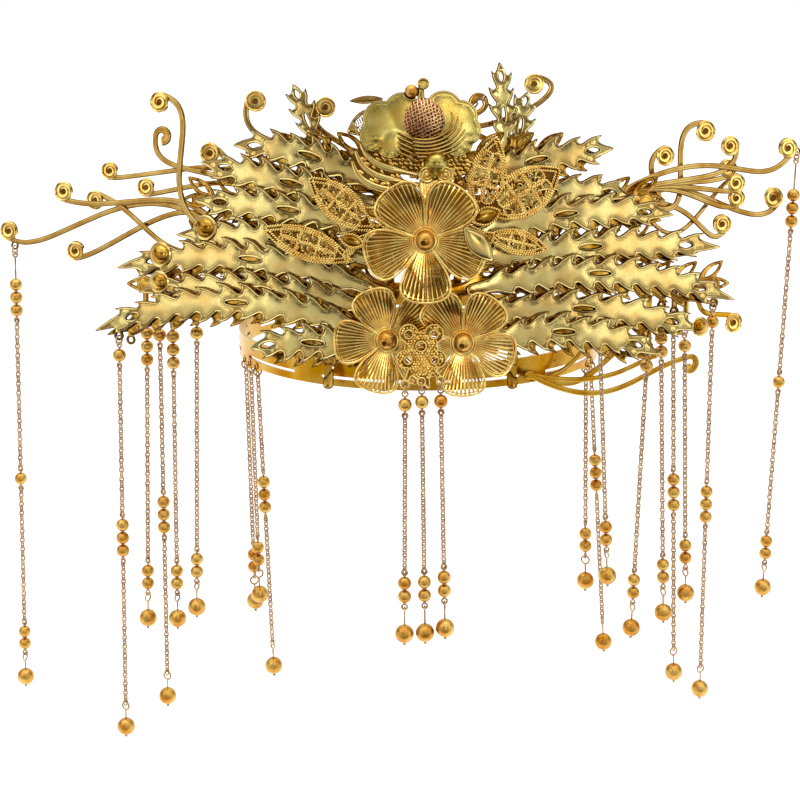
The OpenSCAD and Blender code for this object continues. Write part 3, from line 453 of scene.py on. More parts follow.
def finished(name, shape, materials, sharp=38):
    """One mesh object in metres from a shape, its open ends filled."""
    mesh = bpy.data.meshes.new(name)
    mesh.from_pydata((np.concatenate(shape.points) * MM).tolist(), [], shape.faces)
    for material in materials:
        mesh.materials.append(material)
    mesh.polygons.foreach_set("material_index", shape.kinds)
    mesh.polygons.foreach_set("use_smooth", [True] * len(mesh.polygons))
    mesh.attributes.new("edge", "FLOAT", "POINT").data.foreach_set(
        "value", np.concatenate(shape.edge).astype(np.float32))
    closed = bmesh.new()
    closed.from_mesh(mesh)
    rims = [edge for edge in closed.edges if edge.is_boundary]
    for face in bmesh.ops.holes_fill(closed, edges=rims, sides=0)["faces"]:
        if face.loops[0].link_loop_radial_next.vert == face.loops[0].vert:
            face.normal_flip()
    closed.to_mesh(mesh)
    closed.free()
    mesh.set_sharp_from_angle(angle=math.radians(sharp))
    mesh.update()
    piece = bpy.data.objects.new(name, mesh)
    bpy.context.scene.collection.objects.link(piece)
    return piece


def settle(piece, slot, *nodes):
    """The piece rides on the crown and stands for those nodes, which it hides. The slot is not used.
    """
    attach(piece, "root")
    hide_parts(*nodes)
    return piece


def add_shell(shape, front, back, triangles, depth, kind):
    """A closed shell of a front and a back sheet over the same triangles, and its edges."""
    count = len(front)
    faces = np.concatenate([triangles, triangles[:, ::-1] + count]).tolist()
    faces += [(a, a + count, b + count, b) for a, b in boundary(triangles)]
    shape.add(np.concatenate([front, back]), faces, kind, np.concatenate([depth, depth]))


def add_sheet(shape, chart, loops, relief, thick=0.5, rings=(0.28, 0.6, 0.9), pitch=1.2, kind=0):
    """A closed sheet with relief: front, back and edges. relief(depth, flat) gives the rise."""
    flat, triangles = filled(loops, rings, pitch)
    depth = reach(flat, loops)
    rise = relief(depth, flat)
    back = chart.place(flat, 0.7 * rise - thick)
    add_shell(shape, chart.place(flat, rise), back, triangles, depth, kind)


def add_grid(shape, front, back, kind=0):
    """A closed sheet between two grids of points, rows by columns, the front one seen first."""
    rows, columns = front.shape[:2]
    count = rows * columns
    faces = []
    for i in range(rows - 1):
        for k in range(columns - 1):
            a = i * columns + k
            faces += [(a, a + 1, a + 1 + columns, a + columns),
                      (count + a, count + a + columns, count + a + 1 + columns, count + a + 1)]
    rim = ([k for k in range(columns)] + [i * columns + columns - 1 for i in range(1, rows)]
           + [(rows - 1) * columns + k for k in range(columns - 2, -1, -1)]
           + [i * columns for i in range(rows - 2, 0, -1)])
    faces += [(b, a, a + count, b + count) for a, b in zip(rim, rim[1:] + rim[:1])]
    shape.add(np.concatenate([front.reshape(-1, 3), back.reshape(-1, 3)]), faces, kind)


def add_tube(shape, line, radius, sides=8, closed=False, kind=0, flatten=1.0):
    """A round wire along a line, with closed ends. radius may be one value for each point."""
    line = np.asarray(line, float)
    count = len(line)
    if closed:
        way = np.roll(line, -1, 0) - np.roll(line, 1, 0)
    else:
        way = np.gradient(line, axis=0)
    way /= np.linalg.norm(way, axis=1)[:, None] + 1e-12
    out = np.array([0, -1.0, 0])
    side = np.cross(way, out)
    thin = np.linalg.norm(side, axis=1) < 0.2
    side[thin] = np.cross(way[thin], [1.0, 0, 0])
    side /= np.linalg.norm(side, axis=1)[:, None]
    out = np.cross(way, side)
    turn = np.arange(sides) * 2 * math.pi / sides
    radius = np.broadcast_to(radius, (count,))[:, None, None]
    ring = (line[:, None] + radius * (np.cos(turn)[:, None] * side[:, None]
            + flatten * np.sin(turn)[:, None] * out[:, None])).reshape(-1, 3)
    faces = []
    for i in range(count if closed else count - 1):
        here, there = i * sides, (i + 1) % count * sides
        faces += [(here + k, here + (k + 1) % sides, there + (k + 1) % sides, there + k)
                  for k in range(sides)]
    if not closed:
        last = (count - 1) * sides
        faces += [tuple(range(sides))[::-1], tuple(range(last, last + sides))]
    shape.add(ring, faces, kind)


def add_turned(shape, centre, axis, profile, parts=24, kind=0):
    """A turned form about an axis: profile rows are (out, along), from one pole to the other."""
    axis = np.asarray(axis, float) / np.linalg.norm(axis)
    side = np.cross(axis, [0, 0, 1.0] if abs(axis[2]) < 0.9 else [1.0, 0, 0])
    side /= np.linalg.norm(side)
    other = np.cross(axis, side)
    turn = np.arange(parts) * 2 * math.pi / parts
    round_ = np.cos(turn)[:, None] * side + np.sin(turn)[:, None] * other
    points = np.concatenate([np.asarray(centre) + out * round_ + along * axis
                             for out, along in profile])
    faces = []
    for i in range(len(profile) - 1):
        for k in range(parts):
            a, b = i * parts + k, i * parts + (k + 1) % parts
            faces.append((a, b, b + parts, a + parts))
    last = (len(profile) - 1) * parts
    faces += [tuple(range(parts))[::-1], tuple(range(last, last + parts))]
    shape.add(points, faces, kind)


def circle(count):
    """Evenly spaced points of a circle of radius 1."""
    turn = np.linspace(0, 2 * math.pi, count, endpoint=False)
    return np.stack([np.cos(turn), np.sin(turn)], 1)


def ball(radius, steps):
    """The turned profile of a sphere."""
    arc = np.radians(np.linspace(2, 178, steps))
    return [(radius * math.sin(a), -radius * math.cos(a)) for a in arc]


class Lines:
    """Points and edges, in millimetres, of lines that a geometry group follows."""

    def __init__(self):
        self.points, self.edges = [], []

    def add(self, line, closed=False):
        first, count = len(self.points), len(line)
        self.points += [tuple(p) for p in line]
        self.edges += [(first + i, first + i + 1) for i in range(count - 1)]
        if closed:
            self.edges.append((first + count - 1, first))


# Node trees
def add(tree, kind, given=None, **settings):
    """A node with its settings, whose inputs get a value or the output that feeds them."""
    node = tree.nodes.new(kind)
    for name, value in settings.items():
        setattr(node, name, value)
    for key, value in (given or {}).items():
        if isinstance(value, bpy.types.NodeSocket):
            tree.links.new(value, node.inputs[key])
        else:
            node.inputs[key].default_value = value
    return node


def linear(text):
    """Linear red, green and blue of an sRGB hex colour."""
    parts = [int(text[i:i + 2], 16) / 255 for i in (1, 3, 5)]
    return tuple(p / 12.92 if p <= 0.04045 else ((p + 0.055) / 1.055) ** 2.4 for p in parts)


def varied(colour, hue=0.0, gain=1.0, rich=1.0):
    """A colour turned a little in hue, and made lighter or stronger."""
    h, s, v = colorsys.rgb_to_hsv(*colour[:3])
    return (*colorsys.hsv_to_rgb((h + hue) % 1, min(1, s * rich), min(1, v * gain)), 1)


def ramp_stops(ramp, stops):
    """Gives a colour ramp its stops: place and colour, or grey."""
    while len(ramp.elements) < len(stops):
        ramp.elements.new(0.5)
    for stop, (place, tone) in zip(ramp.elements, stops):
        stop.position = place
        stop.color = (*np.broadcast_to(tone, 3), 1)


def gilt(name, colour, rough, cloud_mm=9.0, grain_mm=0.35, bump=0.12, dark=0.7, deep=-0.02,
         dimple_mm=0.0, groove_shade=0.0):
    """Gilt brass: a tone that wanders over cloud_mm, a skin with grain_mm bumps and wear, and
    painted shade: darker lines along a pressed rim's outer edge, in the groove inside it and further
    in."""
    material = bpy.data.materials.new(name)
    material.use_nodes = True
    tree = material.node_tree
    tree.nodes.clear()
    place = add(tree, "ShaderNodeTexCoord").outputs["Object"]
    clouds = add(tree, "ShaderNodeTexNoise",
                 {"Vector": place, "Scale": 1 / (cloud_mm * MM), "Detail": 3.0})
    tone = add(tree, "ShaderNodeMapRange",
               {"Value": clouds.outputs["Fac"], "From Min": 0.35, "From Max": 0.65})
    mixed = add(tree, "ShaderNodeMix",
                {0: tone.outputs["Result"], 6: varied(colour, deep, dark, 1.15),
                 7: varied(colour, 0.006, 1.0, 1.0)}, data_type="RGBA")
    skin = add(tree, "ShaderNodeTexNoise",
               {"Vector": place, "Scale": 1 / (grain_mm * MM), "Detail": 2.0})
    roughness = add(tree, "ShaderNodeMapRange",
                    {"Value": skin.outputs["Fac"], "From Min": 0.3, "From Max": 0.7,
                     "To Min": rough * 0.75, "To Max": min(1.0, rough * 1.3)})
    height = skin.outputs["Fac"]
    if dimple_mm:
        cells = add(tree, "ShaderNodeTexVoronoi",
                    {"Vector": place, "Scale": 1 / (dimple_mm * MM)})
        height = add(tree, "ShaderNodeMath", {0: cells.outputs["Distance"], 1: 1.4, 2: height},
                     operation="MULTIPLY_ADD").outputs[0]
    raised = add(tree, "ShaderNodeBump",
                 {"Height": height, "Strength": bump, "Distance": 0.3 * MM})
    tint = mixed.outputs[2]
    # Painted shade: the colour is multiplied darker by the distance from the edge, darkest at a
    # rim's outer edge, less in the groove, least along the line further in
    if groove_shade:
        edge = add(tree, "ShaderNodeAttribute", attribute_name="edge")
        share = add(tree, "ShaderNodeMapRange", {"Value": edge.outputs["Fac"], "From Max": 2.0})
        line = add(tree, "ShaderNodeValToRGB", {"Fac": share.outputs[0]})
        brown = 1 - groove_shade * np.array([1.0, 1.08, 1.12])
        soft = 1 - 0.75 * groove_shade * np.array([1.0, 1.05, 1.1])
        stops = [(0.0, brown), (0.13, brown), (0.18, 1.0), (0.34, 1.0), (0.4, soft), (0.48, soft),
                 (0.58, 1.0), (0.76, 1.0), (0.8, 1 - 0.4 * groove_shade), (0.88, 1 - 0.4 * groove_shade),
                 (0.94, 1.0)]
        ramp_stops(line.color_ramp, stops)
        tint = add(tree, "ShaderNodeMix", {0: 1.0, 6: tint, 7: line.outputs["Color"]},
                   data_type="RGBA", blend_type="MULTIPLY").outputs[2]
    shader = add(tree, "ShaderNodeBsdfPrincipled",
                 {"Base Color": tint, "Metallic": 1.0,
                  "Roughness": roughness.outputs["Result"], "Normal": raised.outputs["Normal"]})
    add(tree, "ShaderNodeOutputMaterial", {"Surface": shader.outputs["BSDF"]})
    return material


def new_group(name, sockets):
    """A geometry group with a mesh in and out, and named inputs (name, kind, default)."""
    tree = bpy.data.node_groups.new(name, "GeometryNodeTree")
    tree.interface.new_socket("Mesh", in_out="INPUT", socket_type="NodeSocketGeometry")
    for label, kind, value in sockets:
        made = tree.interface.new_socket(label, in_out="INPUT", socket_type=kind)
        if value is not None:
            made.default_value = value
    tree.interface.new_socket("Mesh", in_out="OUTPUT", socket_type="NodeSocketGeometry")
    return tree, tree.nodes.new("NodeGroupInput")


def group_end(tree, instances, material):
    """Ends a group: instances made real, given their material and shaded smooth."""
    real = add(tree, "GeometryNodeRealizeInstances", {"Geometry": instances})
    dressed = add(tree, "GeometryNodeSetMaterial",
                  {"Geometry": real.outputs["Geometry"], "Material": material})
    smooth = add(tree, "GeometryNodeSetShadeSmooth", {0: dressed.outputs[0]})
    end = tree.nodes.new("NodeGroupOutput")
    tree.links.new(smooth.outputs[0], end.inputs[0])


def chain_group():
    """Oval wire links along each line, every second one turned on its side."""
    tree, given = new_group("chain_links", [
        ("Pitch", "NodeSocketFloat", 0.002), ("Link length", "NodeSocketFloat", 0.003),
        ("Link width", "NodeSocketFloat", 0.002), ("Wire", "NodeSocketFloat", 0.0003),
        ("Turn", "NodeSocketFloat", 1.2), ("Material", "NodeSocketMaterial", None)])
    way = given.outputs
    line = add(tree, "GeometryNodeMeshToCurve", {"Mesh": way["Mesh"]})
    steps = add(tree, "GeometryNodeResampleCurve",
                {"Curve": line.outputs["Curve"], "Length": way["Pitch"]}, mode="LENGTH")
    ring = add(tree, "GeometryNodeCurvePrimitiveCircle", {"Resolution": 14, "Radius": 0.5})
    size = add(tree, "ShaderNodeCombineXYZ",
               {"X": way["Link length"], "Y": way["Link width"], "Z": 1.0})
    oval = add(tree, "GeometryNodeTransform",
               {"Geometry": ring.outputs["Curve"], "Scale": size.outputs["Vector"]})
    wire = add(tree, "GeometryNodeCurvePrimitiveCircle", {"Resolution": 6, "Radius": way["Wire"]})
    link = add(tree, "GeometryNodeCurveToMesh",
               {"Curve": oval.outputs["Geometry"], "Profile Curve": wire.outputs["Curve"]})
    tangent = add(tree, "GeometryNodeInputTangent")
    along = add(tree, "FunctionNodeAlignRotationToVector",
                {"Vector": tangent.outputs["Tangent"]}, axis="X")
    count = add(tree, "GeometryNodeInputIndex")
    half = add(tree, "ShaderNodeMath", {0: count.outputs[0], 1: 2.0}, operation="MODULO")
    signed = add(tree, "ShaderNodeMath", {0: half.outputs[0], 1: 2.0, 2: -1.0},
                 operation="MULTIPLY_ADD")
    roll = add(tree, "ShaderNodeMath", {0: signed.outputs[0], 1: way["Turn"]},
               operation="MULTIPLY")
    spin = add(tree, "FunctionNodeAxisAngleToRotation",
               {"Axis": (1.0, 0.0, 0.0), "Angle": roll.outputs[0]})
    turned = add(tree, "FunctionNodeRotateRotation",
                 {"Rotation": along.outputs[0], "Rotate By": spin.outputs[0]},
                 rotation_space="LOCAL")
    placed = add(tree, "GeometryNodeInstanceOnPoints",
                 {"Points": steps.outputs["Curve"], "Instance": link.outputs["Mesh"],
                  "Rotation": turned.outputs[0]})
    group_end(tree, placed.outputs["Instances"], way["Material"])
    return tree


def rope_group():
    """Slanting grains along each line, so close that they read as a twisted wire."""
    tree, given = new_group("twisted_wire", [
        ("Pitch", "NodeSocketFloat", 0.0006), ("Grain length", "NodeSocketFloat", 0.001),
        ("Grain width", "NodeSocketFloat", 0.0005), ("Slant", "NodeSocketFloat", 0.9),
        ("Material", "NodeSocketMaterial", None)])
    way = given.outputs
    line = add(tree, "GeometryNodeMeshToCurve", {"Mesh": way["Mesh"]})
    steps = add(tree, "GeometryNodeResampleCurve",
                {"Curve": line.outputs["Curve"], "Length": way["Pitch"]}, mode="LENGTH")
    grain = add(tree, "GeometryNodeMeshIcoSphere", {"Radius": 0.5, "Subdivisions": 2})
    size = add(tree, "ShaderNodeCombineXYZ",
               {"X": way["Grain length"], "Y": way["Grain width"], "Z": way["Grain width"]})
    shaped = add(tree, "GeometryNodeTransform",
                 {"Geometry": grain.outputs["Mesh"], "Scale": size.outputs["Vector"]})
    tangent = add(tree, "GeometryNodeInputTangent")
    along = add(tree, "FunctionNodeAlignRotationToVector",
                {"Vector": tangent.outputs["Tangent"]}, axis="X")
    facing = add(tree, "FunctionNodeAlignRotationToVector",
                 {"Rotation": along.outputs[0], "Vector": (0.0, -1.0, 0.0)},
                 axis="Z", pivot_axis="X")
    spin = add(tree, "FunctionNodeAxisAngleToRotation",
               {"Axis": (0.0, 0.0, 1.0), "Angle": way["Slant"]})
    turned = add(tree, "FunctionNodeRotateRotation",
                 {"Rotation": facing.outputs[0], "Rotate By": spin.outputs[0]},
                 rotation_space="LOCAL")
    placed = add(tree, "GeometryNodeInstanceOnPoints",
                 {"Points": steps.outputs["Curve"], "Instance": shaped.outputs["Geometry"],
                  "Rotation": turned.outputs[0]})
    group_end(tree, placed.outputs["Instances"], way["Material"])
    return tree


def bead_group():
    """Round beads on points, each as wide as its point's size says."""
    tree, given = new_group("beads", [
        ("Segments", "NodeSocketInt", 24), ("Rings", "NodeSocketInt", 14),
        ("Stretch", "NodeSocketVector", (1.0, 1.0, 1.0)), ("Spin", "NodeSocketVector", None),
        ("Seed", "NodeSocketInt", 2), ("Material", "NodeSocketMaterial", None)])
    way = given.outputs
    ball = add(tree, "GeometryNodeMeshUVSphere",
               {"Segments": way["Segments"], "Rings": way["Rings"], "Radius": 0.5})
    size = add(tree, "GeometryNodeInputNamedAttribute", {"Name": "size"}, data_type="FLOAT")
    shaped = add(tree, "GeometryNodeTransform",
                 {"Geometry": ball.outputs["Mesh"], "Scale": way["Stretch"]})
    spun = add(tree, "FunctionNodeRandomValue",
               {"Seed": way["Seed"], 1: way["Spin"]}, data_type="FLOAT_VECTOR")
    placed = add(tree, "GeometryNodeInstanceOnPoints",
                 {"Points": way["Mesh"], "Instance": shaped.outputs["Geometry"],
                  "Rotation": spun.outputs[0], "Scale": size.outputs["Attribute"]})
    group_end(tree, placed.outputs["Instances"], way["Material"])
    return tree


def coil_group():
    """Small wire scrolls that lie on points and face about the front, as in pierced work."""
    tree, given = new_group("wire_scrolls", [
        ("Ring", "NodeSocketFloat", 0.0007), ("Wire", "NodeSocketFloat", 0.00016),
        ("Seed", "NodeSocketInt", 3), ("Material", "NodeSocketMaterial", None)])
    way = given.outputs
    turn = add(tree, "GeometryNodeCurveSpiral",
               {"Resolution": 18, "Rotations": 1.4, "Start Radius": 0.35, "End Radius": 1.0,
                "Height": 0.0})
    size = add(tree, "ShaderNodeCombineXYZ",
               {"X": way["Ring"], "Y": way["Ring"], "Z": way["Ring"]})
    scaled = add(tree, "GeometryNodeTransform",
                 {"Geometry": turn.outputs["Curve"], "Scale": size.outputs[0]})
    wire = add(tree, "GeometryNodeCurvePrimitiveCircle", {"Resolution": 5, "Radius": way["Wire"]})
    ring = add(tree, "GeometryNodeCurveToMesh",
               {"Curve": scaled.outputs["Geometry"], "Profile Curve": wire.outputs["Curve"],
                "Fill Caps": True})
    spun = add(tree, "FunctionNodeRandomValue",
               {"Seed": way["Seed"], 0: (1.2, -0.3, 0.0), 1: (1.9, 0.3, 6.28)},
               data_type="FLOAT_VECTOR")
    placed = add(tree, "GeometryNodeInstanceOnPoints",
                 {"Points": way["Mesh"], "Instance": ring.outputs["Mesh"],
                  "Rotation": spun.outputs[0]})
    group_end(tree, placed.outputs["Instances"], way["Material"])
    return tree


GROUPS = {}


def grown(kind, points, edges, inputs, sizes=None):
    """The mesh that a geometry group grows from points and edges in millimetres."""
    make = {"chain": chain_group, "rope": rope_group, "beads": bead_group, "coils": coil_group}
    if kind not in GROUPS:
        GROUPS[kind] = make[kind]()
    seed = bpy.data.meshes.new("seed")
    seed.from_pydata((np.asarray(points) * MM).tolist(), edges, [])
    if sizes is not None:
        seed.attributes.new("size", "FLOAT", "POINT").data.foreach_set(
            "value", np.asarray(sizes, np.float32) * MM)
    holder = bpy.data.objects.new("seed", seed)
    bpy.context.scene.collection.objects.link(holder)
    grower = holder.modifiers.new("grow", "NODES")
    grower.node_group = GROUPS[kind]
    for socket in GROUPS[kind].interface.items_tree:
        if socket.in_out == "INPUT" and socket.name in inputs:
            grower[socket.identifier] = inputs[socket.name]
    graph = bpy.context.evaluated_depsgraph_get()
    made = bpy.data.meshes.new_from_object(holder.evaluated_get(graph), depsgraph=graph)
    bpy.data.objects.remove(holder)
    bpy.data.meshes.remove(seed)
    return made


def joined(piece, *meshes):
    """Adds grown meshes to a piece, each with its own material."""
    together = [piece]
    for mesh in meshes:
        part = bpy.data.objects.new("part", mesh)
        bpy.context.scene.collection.objects.link(part)
        together.append(part)
    with bpy.context.temp_override(active_object=piece, object=piece,
                                   selected_objects=together,
                                   selected_editable_objects=together):
        bpy.ops.object.join()
    return piece


# Sizes and colours that a user would change
class CrownSizes(bpy.types.PropertyGroup):
    rim_rise: bpy.props.FloatProperty(
        name="Rim rise", description="How far a plate's rim stands out",
        default=0.0003, min=0, max=0.0005, unit="LENGTH", precision=5)
    crown_rise: bpy.props.FloatProperty(
        name="Spine rise", description="How far a plate's middle swells",
        default=0.00022, min=0, max=0.0008, unit="LENGTH", precision=5)
    link_pitch: bpy.props.FloatProperty(
        name="Link pitch", description="Distance from one chain link to the next",
        default=0.0019, min=0.001, max=0.004, unit="LENGTH", precision=5)
    link_wire: bpy.props.FloatProperty(
        name="Link wire", description="Radius of a chain link's wire",
        default=0.00031, min=0.0001, max=0.0005, unit="LENGTH", precision=5)
    petal_ribs: bpy.props.IntProperty(
        name="Petal ribs", description="Wires across one petal", default=10, min=5, max=15)


class CrownColours(bpy.types.PropertyGroup):
    plate: bpy.props.FloatVectorProperty(
        name="Plates", description="Pressed flame plates", subtype="COLOR",
        default=linear("#E3CD85"))
    strip: bpy.props.FloatVectorProperty(
        name="Strips", description="Curled strips and the band", subtype="COLOR",
        default=linear("#CEAC64"))
    wire: bpy.props.FloatVectorProperty(
        name="Wires", description="Flowers and pierced leaves", subtype="COLOR",
        default=linear("#FBDC86"))
    bead: bpy.props.FloatVectorProperty(
        name="Beads", description="Beads of the strands", subtype="COLOR",
        default=linear("#D2AA5C"))
    chain: bpy.props.FloatVectorProperty(
        name="Chain", description="Chain links and rings", subtype="COLOR",
        default=linear("#D3B48C"))
    rose: bpy.props.FloatVectorProperty(
        name="Rosy gold", description="Domed middle of the crest", subtype="COLOR",
        default=linear("#F2C592"))


PAINTS = {}


def paint(kind):
    """The material of that kind, made when it is first asked for."""
    colours = bpy.context.scene.crown_colours
    recipes = {
        # pressed sheet brass, gilt pale: broad soft reflections, and painted shade as darker lines
        # along its rim and in its groove
        "pressed gilt brass": lambda: gilt(
            "pressed gilt brass", colours.plate, 0.21, dark=0.86, grain_mm=1.2, bump=0.015,
            groove_shade=0.84),
        # the same sheet in the rear layers, painted deeper and more orange as the shade between
        # plates, with painted shade along its rims; on other parts, such as the cloud plate, the
        # bars and the bosses, it is their own colour
        "rear gilt brass": lambda: gilt(
            "rear gilt brass", varied(colours.strip, -0.012, 1.1, 1.12), 0.18, cloud_mm=6,
            dark=0.4, deep=-0.02, bump=0.05, groove_shade=0.8),
        # sheet behind a flower's ribs: painted dark amber as the shade between them
        "shade-painted deep gilt": lambda: gilt(
            "shade-painted deep gilt", varied(colours.strip, -0.015, 0.62, 1.12), 0.3, cloud_mm=5,
            dark=0.7),
        # ground under wires, the eyes of curls and the hole of a flower's bead: painted dark brown
        # as the shade there, and rough
        "shade-painted gilt ground": lambda: gilt(
            "shade-painted gilt ground", varied(colours.strip, -0.03, 0.3, 1.15), 0.45, cloud_mm=3,
            dark=0.6),
        # rolled strip: bright, with long streaks of darker gold, and painted shade as darker lines
        # along its edges
        "rolled gilt strip": lambda: gilt(
            "rolled gilt strip", colours.strip, 0.13, cloud_mm=8, dark=0.66, bump=0.04,
            groove_shade=0.6),
        # rolled band, polished: the yellowest gold of the crown
        "polished gilt band": lambda: gilt(
            "polished gilt band", varied(colours.strip, -0.002, 1.0, 1.12), 0.25, cloud_mm=14,
            dark=0.85, bump=0.03),
        # the crest's plates: a thin satin gilding, olive yellow, with painted shade as darker lines
        # along its rim and groove
        "satin gilt brass": lambda: gilt(
            "satin gilt brass", varied(colours.plate, 0.004, 0.82, 1.1), 0.28, dark=0.86,
            bump=0.015, groove_shade=0.84),
        # the bird's brow: a darker gilt, painted as shade
        "shaded gilt brass": lambda: gilt(
            "shaded gilt brass", varied(colours.plate, 0.0, 0.6, 1.15), 0.24, cloud_mm=4,
            dark=0.7, bump=0.03),
        # drawn gilt wire: fine and bright
        "drawn gilt wire": lambda: gilt(
            "drawn gilt wire", colours.wire, 0.16, cloud_mm=4, dark=0.8, bump=0.03),
        # rose-gilt mesh
        "rose gilt mesh": lambda: gilt("rose gilt mesh", colours.rose, 0.25, dark=0.55),
        # tumbled bead brass: satin, with a dull bloom
        "satin gilt bead": lambda: gilt(
            "satin gilt bead", colours.bead, 0.3, cloud_mm=5, dark=0.8, deep=-0.03, grain_mm=0.2),
        # plated chain: pale, slightly pink
        "plated chain": lambda: gilt("plated chain", colours.chain, 0.22, cloud_mm=3, dark=0.6),
    }
    if kind not in PAINTS:
        PAINTS[kind] = recipes[kind]()
    return PAINTS[kind]


# Flame plates
def plate_relief(seed, rim, crown):
    """A pressed plate: raised rim, a groove inside it, a soft swell over the spine."""
    depths = [0, 0.28, 0.6, 0.85, 1.2, 3.6]
    rises = [-0.15, rim, rim - 0.05, -0.08, 0.1, crown]

    def relief(depth, flat):
        wave = noise(flat, 14, seed)
        fine = noise(flat, 5, seed + 1)
        rise = np.interp(depth, depths, rises)
        return rise + (0.05 * wave + 0.015 * fine) * np.clip(depth, 0, 1)
    return relief


BOSSES = {
    # plate: across and height as shares of the fan, layer, size
    "flame_left_4": (-0.65, 0.498, 3, 1.0), "flame_left_5": (-0.792, 0.415, 4, 1.0),
    "flame_left_6": (-0.795, 0.33, 5, 0.9), "flame_right_6": (0.86, 0.19, 5, 0.8)}
BOSS_R = 4.1


def add_boss(shape, across, height, layer, size, kinds=(0, 1)):
    """A round boss on a plate: a rim, a dark groove and a dome."""
    middle = np.array([across * FAN_REACH, height * FAN_H])
    centre, ahead = on_round(*middle, layer_r(layer))
    radius = BOSS_R * size
    rim = [(0.3, -0.1), (1.12, -0.2), (1.16, 0.2), (1.06, 0.5), (0.94, 0.3), (0.3, 0.1)]
    dome = [(0.3, 0.0), (0.86, 0.2), (0.84, 0.55), (0.72, 1.15), (0.5, 1.8), (0.24, 2.2),
            (0.02, 2.3)]
    add_turned(shape, centre, ahead, [(a * radius, b * size) for a, b in rim], 36, kinds[0])
    add_turned(shape, centre, ahead, [(a * radius, b * size) for a, b in dome], 36, kinds[1])


def is_round(loop):
    """Whether a loop is a circle wider than an eyelet."""
    middle = loop.mean(0)
    spread = np.hypot(*(loop - middle).T)
    return len(loop) > 10 and np.ptp(spread) < 0.35 and spread.mean() > 2


# The second row of tongues: how far it is nearer the root, lower and further back than its
# plate, and its thickness, in mm
REAR_SHIFT, REAR_DROP, REAR_BACK, REAR_THICK = 4.2, 1.6, 1.15, 0.25
# Plates whose second row reaches further toward the middle, and how far
INNER_REARS = ("flame_left_5", "flame_right_5", "flame_right_4")
INNER_SHIFT = 8.5


def add_rear(shape, chart, loops, relief, kind, nearer=False):
    """Thin tongues close behind a plate, a little nearer its root, that show between its own."""
    everything = np.concatenate(loops)
    way = np.linalg.svd(everything - everything.mean(0), full_matrices=False)[2][0]
    way *= -np.sign(way[0] * everything[:, 0].mean())
    shift = (INNER_SHIFT if nearer else REAR_SHIFT) * way - np.array([0, REAR_DROP])
    moved = [loop + shift for loop in loops]
    flat, triangles = filled(moved, (0.28, 0.6, 0.9), 1.6)
    depth = reach(flat, moved)
    rise = 0.7 * relief(depth, flat)
    back = chart.place(flat, 0.6 * rise - REAR_BACK - REAR_THICK)
    add_shell(shape, chart.place(flat, rise - REAR_BACK), back, triangles, depth, kind)


class CROWN_OT_plates(bpy.types.Operator):
    """Flame plates with a pressed rim, a swelling spine and their pins and bosses"""

    bl_idname = "crown.plates"
    bl_label = "Flame plates"

    def execute(self, context):
        sizes = context.scene.crown_sizes
        names = named("flame_left") + named("flame_right") + named("flame_top")
        for number, name in enumerate(names):
            shape = Shape()
            relief = plate_relief(number, sizes.rim_rise / MM, sizes.crown_rise / MM)
            behind = not name.startswith("flame_top")
            sheets = front_sheets(name, 8)
            for chart, loops, _ in sheets:
                if chart.radius > sheets[0][0].radius + 0.3:
                    add_strip(shape, chart, loops, (1, 2, 3))
                    continue
                smooth = [rounded(loop) for loop in loops if not is_round(loop)]
                add_sheet(shape, chart, smooth, relief, 0.5)
                if behind:
                    add_rear(shape, chart, smooth, relief, 4, name in INNER_REARS)
                shape.add(*pins(name, chart.radius, behind))
            if name in BOSSES:
                add_boss(shape, *BOSSES[name], (0, 4))
            # The rear gilt paints the rear tongues deeper as the shade between plates; the fourth
            # material paints the curls' eyes dark as the shade of their holes
            piece = finished(name + "_pressed", shape,
                             [paint("pressed gilt brass"), paint("rolled gilt strip"),
                              paint("drawn gilt wire"), paint("shade-painted gilt ground"),
                              paint("rear gilt brass")])
            settle(piece, "plate_gold", name)
        return {"FINISHED"}


# Curled strips
LOW_STRIPS = ("curl_low_right", "band_arms")


def widest(loops):
    """The middle and radius of the largest round that fits inside the loops."""
    everything = np.concatenate(loops)
    grid = hex_grid(everything.min(0), everything.max(0), 0.5)
    outer = [max(loops, key=len)]
    grid = grid[inside(grid, outer)]
    depth = reach(grid, outer)
    best = depth.argmax()
    return grid[best], depth[best]


def curl_end(loop):
    """The middle and radius of the round that a strip's outline runs along at its curl."""
    near = widest([loop])[0]
    grid = hex_grid(near - 4.5, near + 4.5, 0.25)
    away = loop[None] - grid[:, None]
    reach_all = np.hypot(away[..., 0], away[..., 1])
    sector = ((np.arctan2(away[..., 1], away[..., 0]) / math.pi + 1) * 9).astype(int)
    best = (0, near, 0.0)
    for radius in np.arange(2.9, 4.6, 0.1):
        on = np.abs(reach_all - radius) < 0.2
        score = sum((on & (sector == k)).any(1).astype(int) for k in range(18))
        if score.max() > best[0]:
            best = (score.max(), grid[score.argmax()], radius)
    return best


